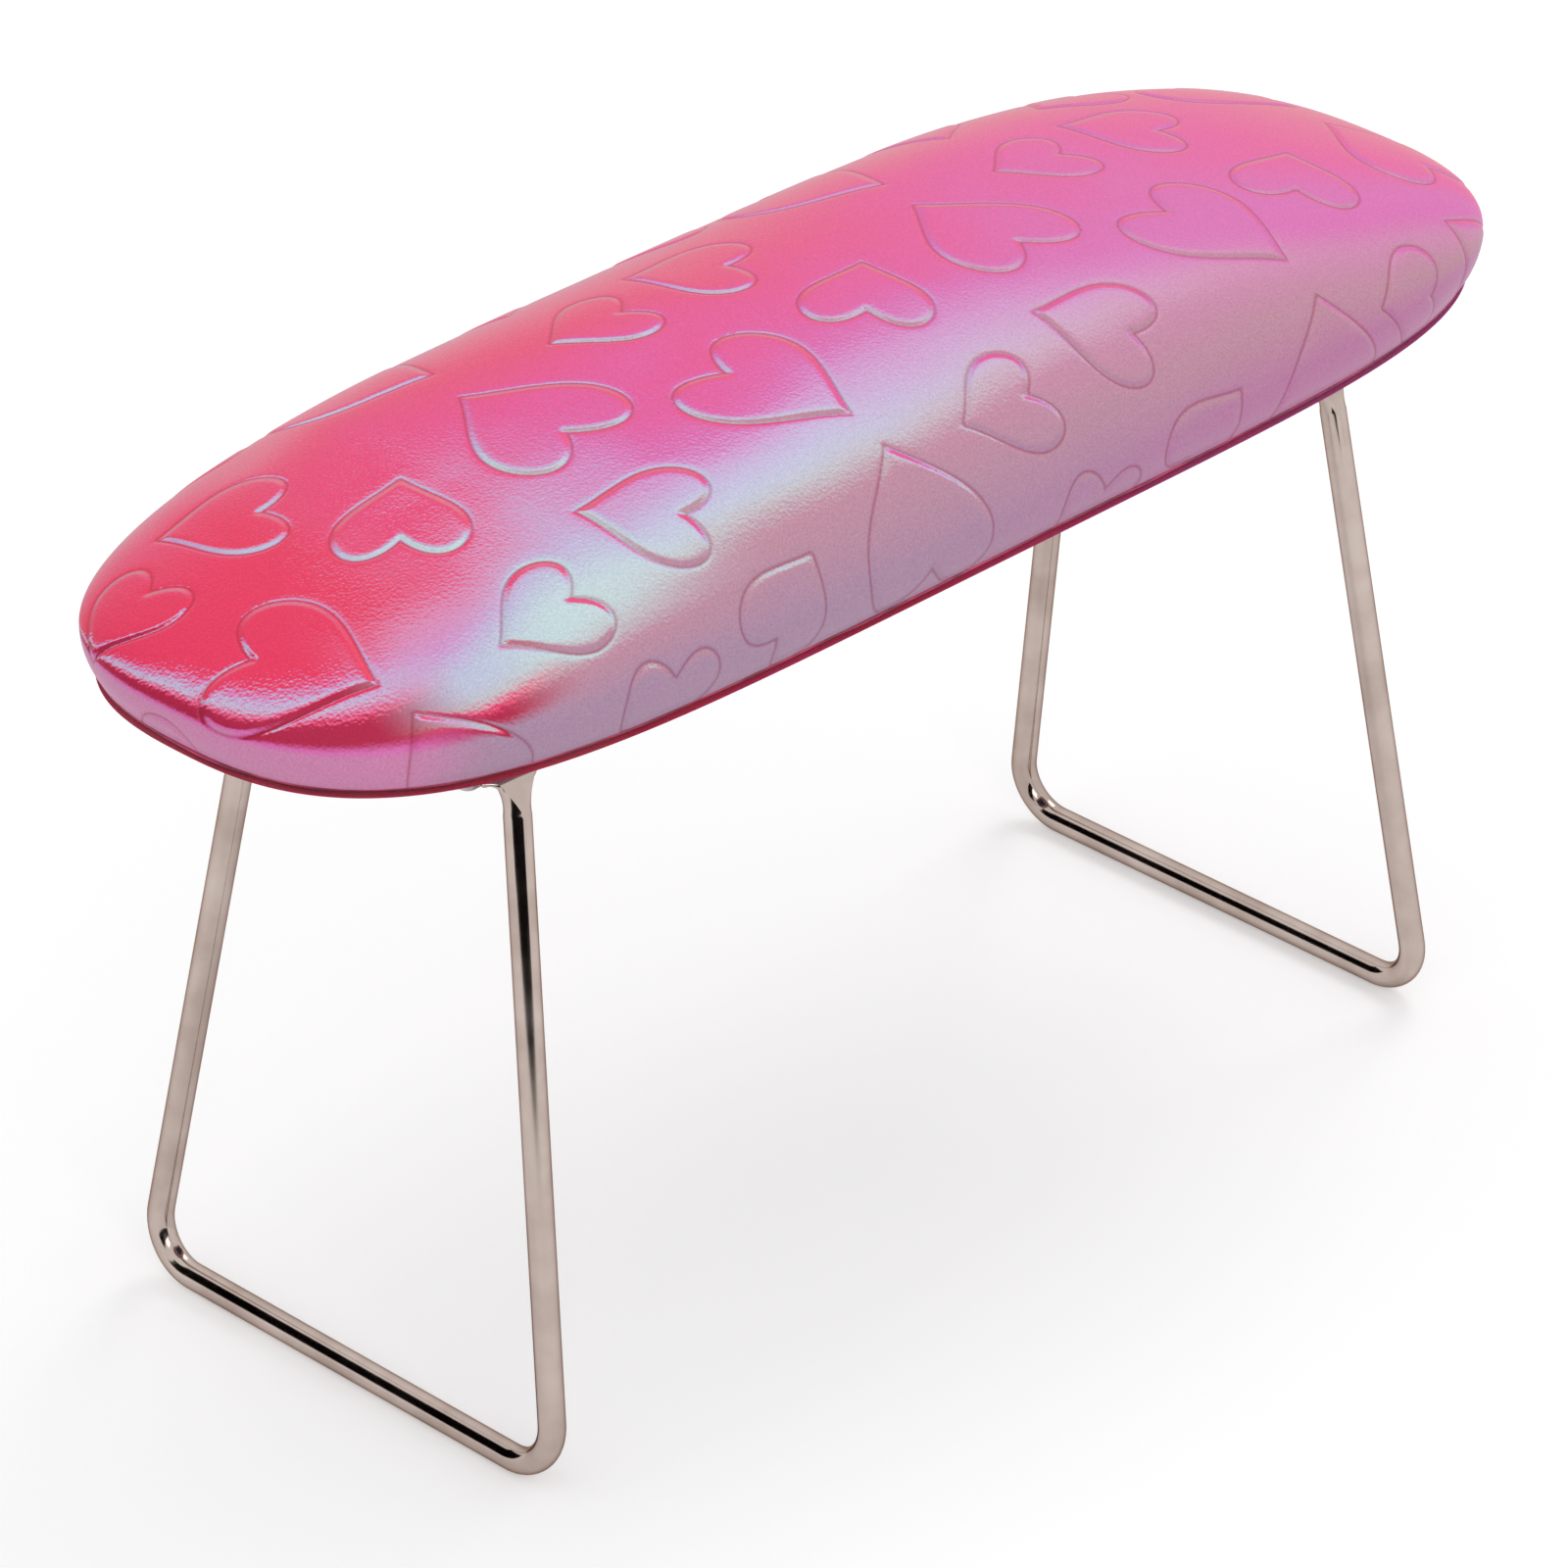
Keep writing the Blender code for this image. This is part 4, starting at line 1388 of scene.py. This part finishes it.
@dataclass
class PanScrew:
    """A pan-head screw with a cross recess, head down, its shank up through plate and board."""

    side: Side
    number: int
    y: float
    head_top: float
    x: float = 0.1024
    diameter: float = 3.0 * MM
    head_diameter: float = 5.8 * MM
    head_height: float = 1.7 * MM
    length: float = 8.5 * MM
    recess_length: float = 3.2 * MM
    recess_width: float = 0.9 * MM
    recess_depth: float = 0.9 * MM
    recess_taper: float = 0.6
    pitch: float = 1.0 * MM
    threads: int = 6
    sides: int = 40

    def profile(self) -> list[tuple[float, float]]:
        """Walks the screw's section from the crown of its head to its tip.

        Returns:
            Radius and height above the head's seat at each place.
        """
        top, radius = self.head_height, self.head_diameter / 2
        dome = [(radius * sin(a), -top * (0.45 + 0.55 * cos(a))) for a in np.linspace(0.12, pi / 2, 7)]
        head = dome + [(radius, -0.1 * MM), (radius - 0.1 * MM, 0.0), (self.diameter / 2, 0.0)]
        thread = [
            (self.diameter / 2 * (1.0 if step % 2 else 0.8), 0.4 * MM + self.pitch * step / 2)
            for step in range(self.threads * 2 + 1)
        ]
        return head + thread + [(self.diameter * 0.1, self.length)]

    def build(self, finish: Material) -> Object:
        """Builds the screw and cuts its cross recess.

        Args:
            finish: Material of the screw.

        Returns:
            The screw.
        """
        x = self.side.value * self.x
        rows = self.profile()
        turns = [2 * pi * i / self.sides for i in range(self.sides)]
        points = [(x + r * cos(t), self.y + r * sin(t), self.head_top + up) for r, up in rows for t in turns]
        faces = skin_faces(len(rows), self.sides, closed_rows=False, capped=True)
        label = f"{self.side.word}_{self.number}"
        name, node = "pan_screw_" + label, "plate_screw_" + label
        screw = make_piece(name, points, faces, finish, node, 35.0)
        crown = self.head_top - self.head_height
        low, high = crown - MM, crown + self.recess_depth
        builder = bmesh.new()
        for size in ((self.recess_length, self.recess_width), (self.recess_width, self.recess_length)):
            place = Matrix.Translation((x, self.y, (low + high) / 2))
            shape = place @ Matrix.Diagonal((*size, high - low, 1))
            for vertex in bmesh.ops.create_cube(builder, size=1, matrix=shape)["verts"]:
                if vertex.co.z > (low + high) / 2:
                    vertex.co.x = x + (vertex.co.x - x) * self.recess_taper
                    vertex.co.y = self.y + (vertex.co.y - self.y) * self.recess_taper
        recess_mesh = bpy.data.meshes.new("recess")
        builder.to_mesh(recess_mesh)
        builder.free()
        recess = add_object("recess", recess_mesh)
        cut = screw.modifiers.new("recess", "BOOLEAN")
        cut.operation, cut.solver, cut.use_self, cut.object = "DIFFERENCE", "EXACT", True, recess
        done = bpy.data.meshes.new_from_object(screw.evaluated_get(bpy.context.evaluated_depsgraph_get()))
        screw.modifiers.clear()
        screw.data = done
        bpy.data.objects.remove(recess)
        return screw


@dataclass
class Studio:
    """White studio: pale floor, soft lamps, dark cards that stripe the wire, and the photograph's camera.

    Attributes:
        shift: Camera's place along its own axes, in units of the solved view.
        scale: Metres in one unit of the solved view.
        floor_lift: Height of the solved view's origin above the floor.
        ambient: Strength of the world's light on the object.
        floor_glow: Part of the floor's white that doesn't take the object's shadow.
    """

    azimuth: float = -46.435
    elevation: float = 29.827
    roll: float = 0.701
    lens: float = 199.55
    sensor: float = 36.0
    shift: tuple[float, float, float] = (-3.036, 55.294, 1434.82)
    scale: float = 1.1 * MM
    floor_lift: float = 2.4 * MM
    ambient: float = 0.80
    floor_colour: str = "#E6E6E6"
    floor_glow: float = 0.30
    floor_width: float = 12.0
    floor_drop: float = 0.2 * MM
    card_colour: str = "#0A0808"

    def camera_axes(self) -> np.ndarray:
        """Works out the camera's axes.

        Returns:
            Rows of right, up and back in the scene.
        """
        a, e, r = radians(self.azimuth), radians(self.elevation), radians(self.roll)
        back = np.array([sin(a) * cos(e), -cos(a) * cos(e), sin(e)])
        right = np.array([cos(a), sin(a), 0.0])
        up = np.cross(back, right)
        rolled = np.array([[cos(r), sin(r), 0.0], [-sin(r), cos(r), 0.0], [0.0, 0.0, 1.0]])
        return rolled @ np.stack([right, up, back])

    def build_camera(self) -> None:
        """Places the camera where the photograph was taken from."""
        axes = self.camera_axes()
        place = axes.T @ np.array(self.shift) * self.scale + np.array([0.0, 0.0, self.floor_lift])
        data = bpy.data.cameras.new("camera")
        data.lens, data.sensor_width, data.sensor_fit = self.lens, self.sensor, "HORIZONTAL"
        data.clip_start, data.clip_end = 0.05, 20.0
        camera = add_object("camera", data)
        world = Matrix.Identity(4)
        for column in range(3):
            for row in range(3):
                world[row][column] = axes[column][row]
            world[column][3] = place[column]
        camera.matrix_world = world
        bpy.context.scene.camera = camera

    @staticmethod
    def seen_straight(tree: NodeTree) -> NodeSocket:
        """Adds the nodes that pick the rays that show a surface itself, directly or in metal or glass.

        Args:
            tree: Node tree that gets the nodes.

        Returns:
            1 for such a ray and 0 for any other.
        """
        path = add_node(tree, "LightPath")
        seen = path.outputs["Is Camera Ray"]
        for kind in ("Is Glossy Ray", "Is Transmission Ray"):
            seen = add_node(tree, "Math", {0: seen, 1: path.outputs[kind]}, operation="MAXIMUM").outputs[0]
        return seen

    @staticmethod
    def build_panel(name: str, width: float, height: float, finish: Material) -> Object:
        """Makes one flat panel of the studio.

        Args:
            name: Panel name.
            width: Width of the panel.
            height: Height of the panel.
            finish: Material of the panel.

        Returns:
            The panel, flat about the origin.
        """
        w, h = width / 2, height / 2
        panel = add_mesh(name, [(-w, -h, 0), (w, -h, 0), (w, h, 0), (-w, h, 0)], [(0, 1, 2, 3)])
        panel.data.materials.append(finish)
        return panel

    def build_world(self) -> None:
        """Fills the scene with soft white light, and shows plain white behind the object."""
        world = bpy.data.worlds.new("white_room")
        bpy.context.scene.world = world
        world.use_nodes = True
        tree = world.node_tree
        tree.nodes.clear()
        strength = add_node(tree, "MapRange", {0: self.seen_straight(tree), 3: self.ambient, 4: 1.0})
        light = add_node(tree, "Background", {"Color": (1.0, 1.0, 1.0, 1.0), "Strength": strength})
        add_node(tree, "OutputWorld", {0: light})

    def build_floor(self) -> None:
        """Lays a white floor that keeps the object's shadow."""
        made, tree = new_material("white_floor")
        glow = {0: self.seen_straight(tree), 1: self.floor_glow}
        strength = add_node(tree, "Math", glow, operation="MULTIPLY")
        matt = add_node(tree, "BsdfDiffuse", {"Color": linear(self.floor_colour)})
        white = add_node(tree, "Emission", {"Color": (1.0, 1.0, 1.0, 1.0), "Strength": strength})
        end_material(made, {0: matt, 1: white}, "AddShader")
        floor = self.build_panel("floor", self.floor_width, self.floor_width, made)
        floor.location.z = -self.floor_drop

    @staticmethod
    def build_lamp(
        name: str,
        place: tuple[float, float, float],
        aim: tuple[float, float, float],
        size: float,
        power: float,
    ) -> None:
        """Hangs one soft white lamp.

        Args:
            name: Lamp name.
            place: Where it hangs.
            aim: What it faces.
            size: Width and height.
            power: Light power in watts.
        """
        data = bpy.data.lights.new(name, "AREA")
        data.shape, data.size, data.energy = "SQUARE", size, power
        lamp = add_object(name, data)
        lamp.location = place
        lamp.rotation_euler = (Vector(aim) - Vector(place)).to_track_quat("-Z", "Y").to_euler()

    def build_card(
        self,
        name: str,
        place: tuple[float, float, float],
        aim: tuple[float, float, float],
        width: float,
        height: float,
    ) -> None:
        """Stands a dark card that only shows as a reflection in bright metal.

        Args:
            name: Card name.
            place: Middle of the card.
            aim: What it faces.
            width: Width of the card.
            height: Height of the card.
        """
        made, _ = new_material(name + "_black")
        end_material(made, {"Color": linear(self.card_colour)}, "BsdfDiffuse")
        card = self.build_panel(name, width, height, made)
        card.location = place
        card.rotation_euler = (Vector(place) - Vector(aim)).to_track_quat("-Z", "Y").to_euler()
        for kind in ("camera", "diffuse", "shadow", "transmission"):
            setattr(card, "visible_" + kind, False)

    def build(self) -> None:
        """Sets up the whole studio."""
        self.build_camera()
        self.build_world()
        self.build_floor()
        self.build_lamp("shoulder_softbox", place=(0.80, 0.18, 1.15), aim=(-0.06, 0.0, 0.14), size=0.5, power=2.6)
        self.build_lamp("front_fill", place=(-0.9, -1.3, 0.9), aim=(0.0, 0.0, 0.12), size=0.9, power=5.0)
        self.build_card(
            "front_card", place=(-0.335, -0.275, 0.1), aim=(-0.105, -0.04, 0.1), width=0.62, height=0.2
        )
        self.build_card("back_card", place=(-0.52, 0.50, 0.38), aim=(0.0, 0.0, 0.0), width=0.85, height=0.62)


@dataclass
class HandRest:
    """The whole rest: pad, covers, legs, plates and screws, in the order in which they are built."""

    form: PadForm = field(default_factory=PadForm)
    pattern: HeartPattern = field(default_factory=HeartPattern)
    outer_screw_y: float = 18.5 * MM
    screw_places: tuple[float, ...] = (-1, -1 / 3, 1 / 3, 1)
    screw_seat: float = 0.1260

    def build(self) -> None:
        """Builds and dresses every piece."""
        film, edge = PearlFilm().build(), EdgeFilm().build()
        nickel, zinc = BrightNickel().build(), ZincSteel().build()
        CushionCover(self.form, self.pattern).build(film)
        SeamWelt(self.form).build(edge)
        UnderCover(self.form).build(film)
        BottomLining(self.form).build(SpunLining().build())
        for side in Side:
            WireLeg(side).build(nickel)
            MountingPlate(side).build(zinc)
            for number, share in enumerate(self.screw_places, 1):
                PanScrew(side, number, self.outer_screw_y * share, self.screw_seat).build(zinc)
        self.dress_hidden("foam_pad", CutFoam().build())
        self.dress_hidden("base_board", FibreBoard().build())

    def dress_hidden(self, node: str, finish: Material) -> None:
        """Gives a carried-over CAD node its finish.

        Args:
            node: Node name.
            finish: Material of the node.
        """
        carried = bpy.data.objects[node]
        for place in carried.material_slots:
            place.material = finish
        LOG.info("%s: dressed as %s", node, finish.name)


def main() -> None:
    """Builds the studio and the rest."""
    logging.basicConfig(level=logging.INFO, format="%(message)s", stream=sys.stdout)
    scene = bpy.context.scene
    scene.view_settings.view_transform = "Standard"
    Studio().build()
    HandRest().build()
    bpy.context.view_layer.update()


if __name__ == "__main__":
    main()
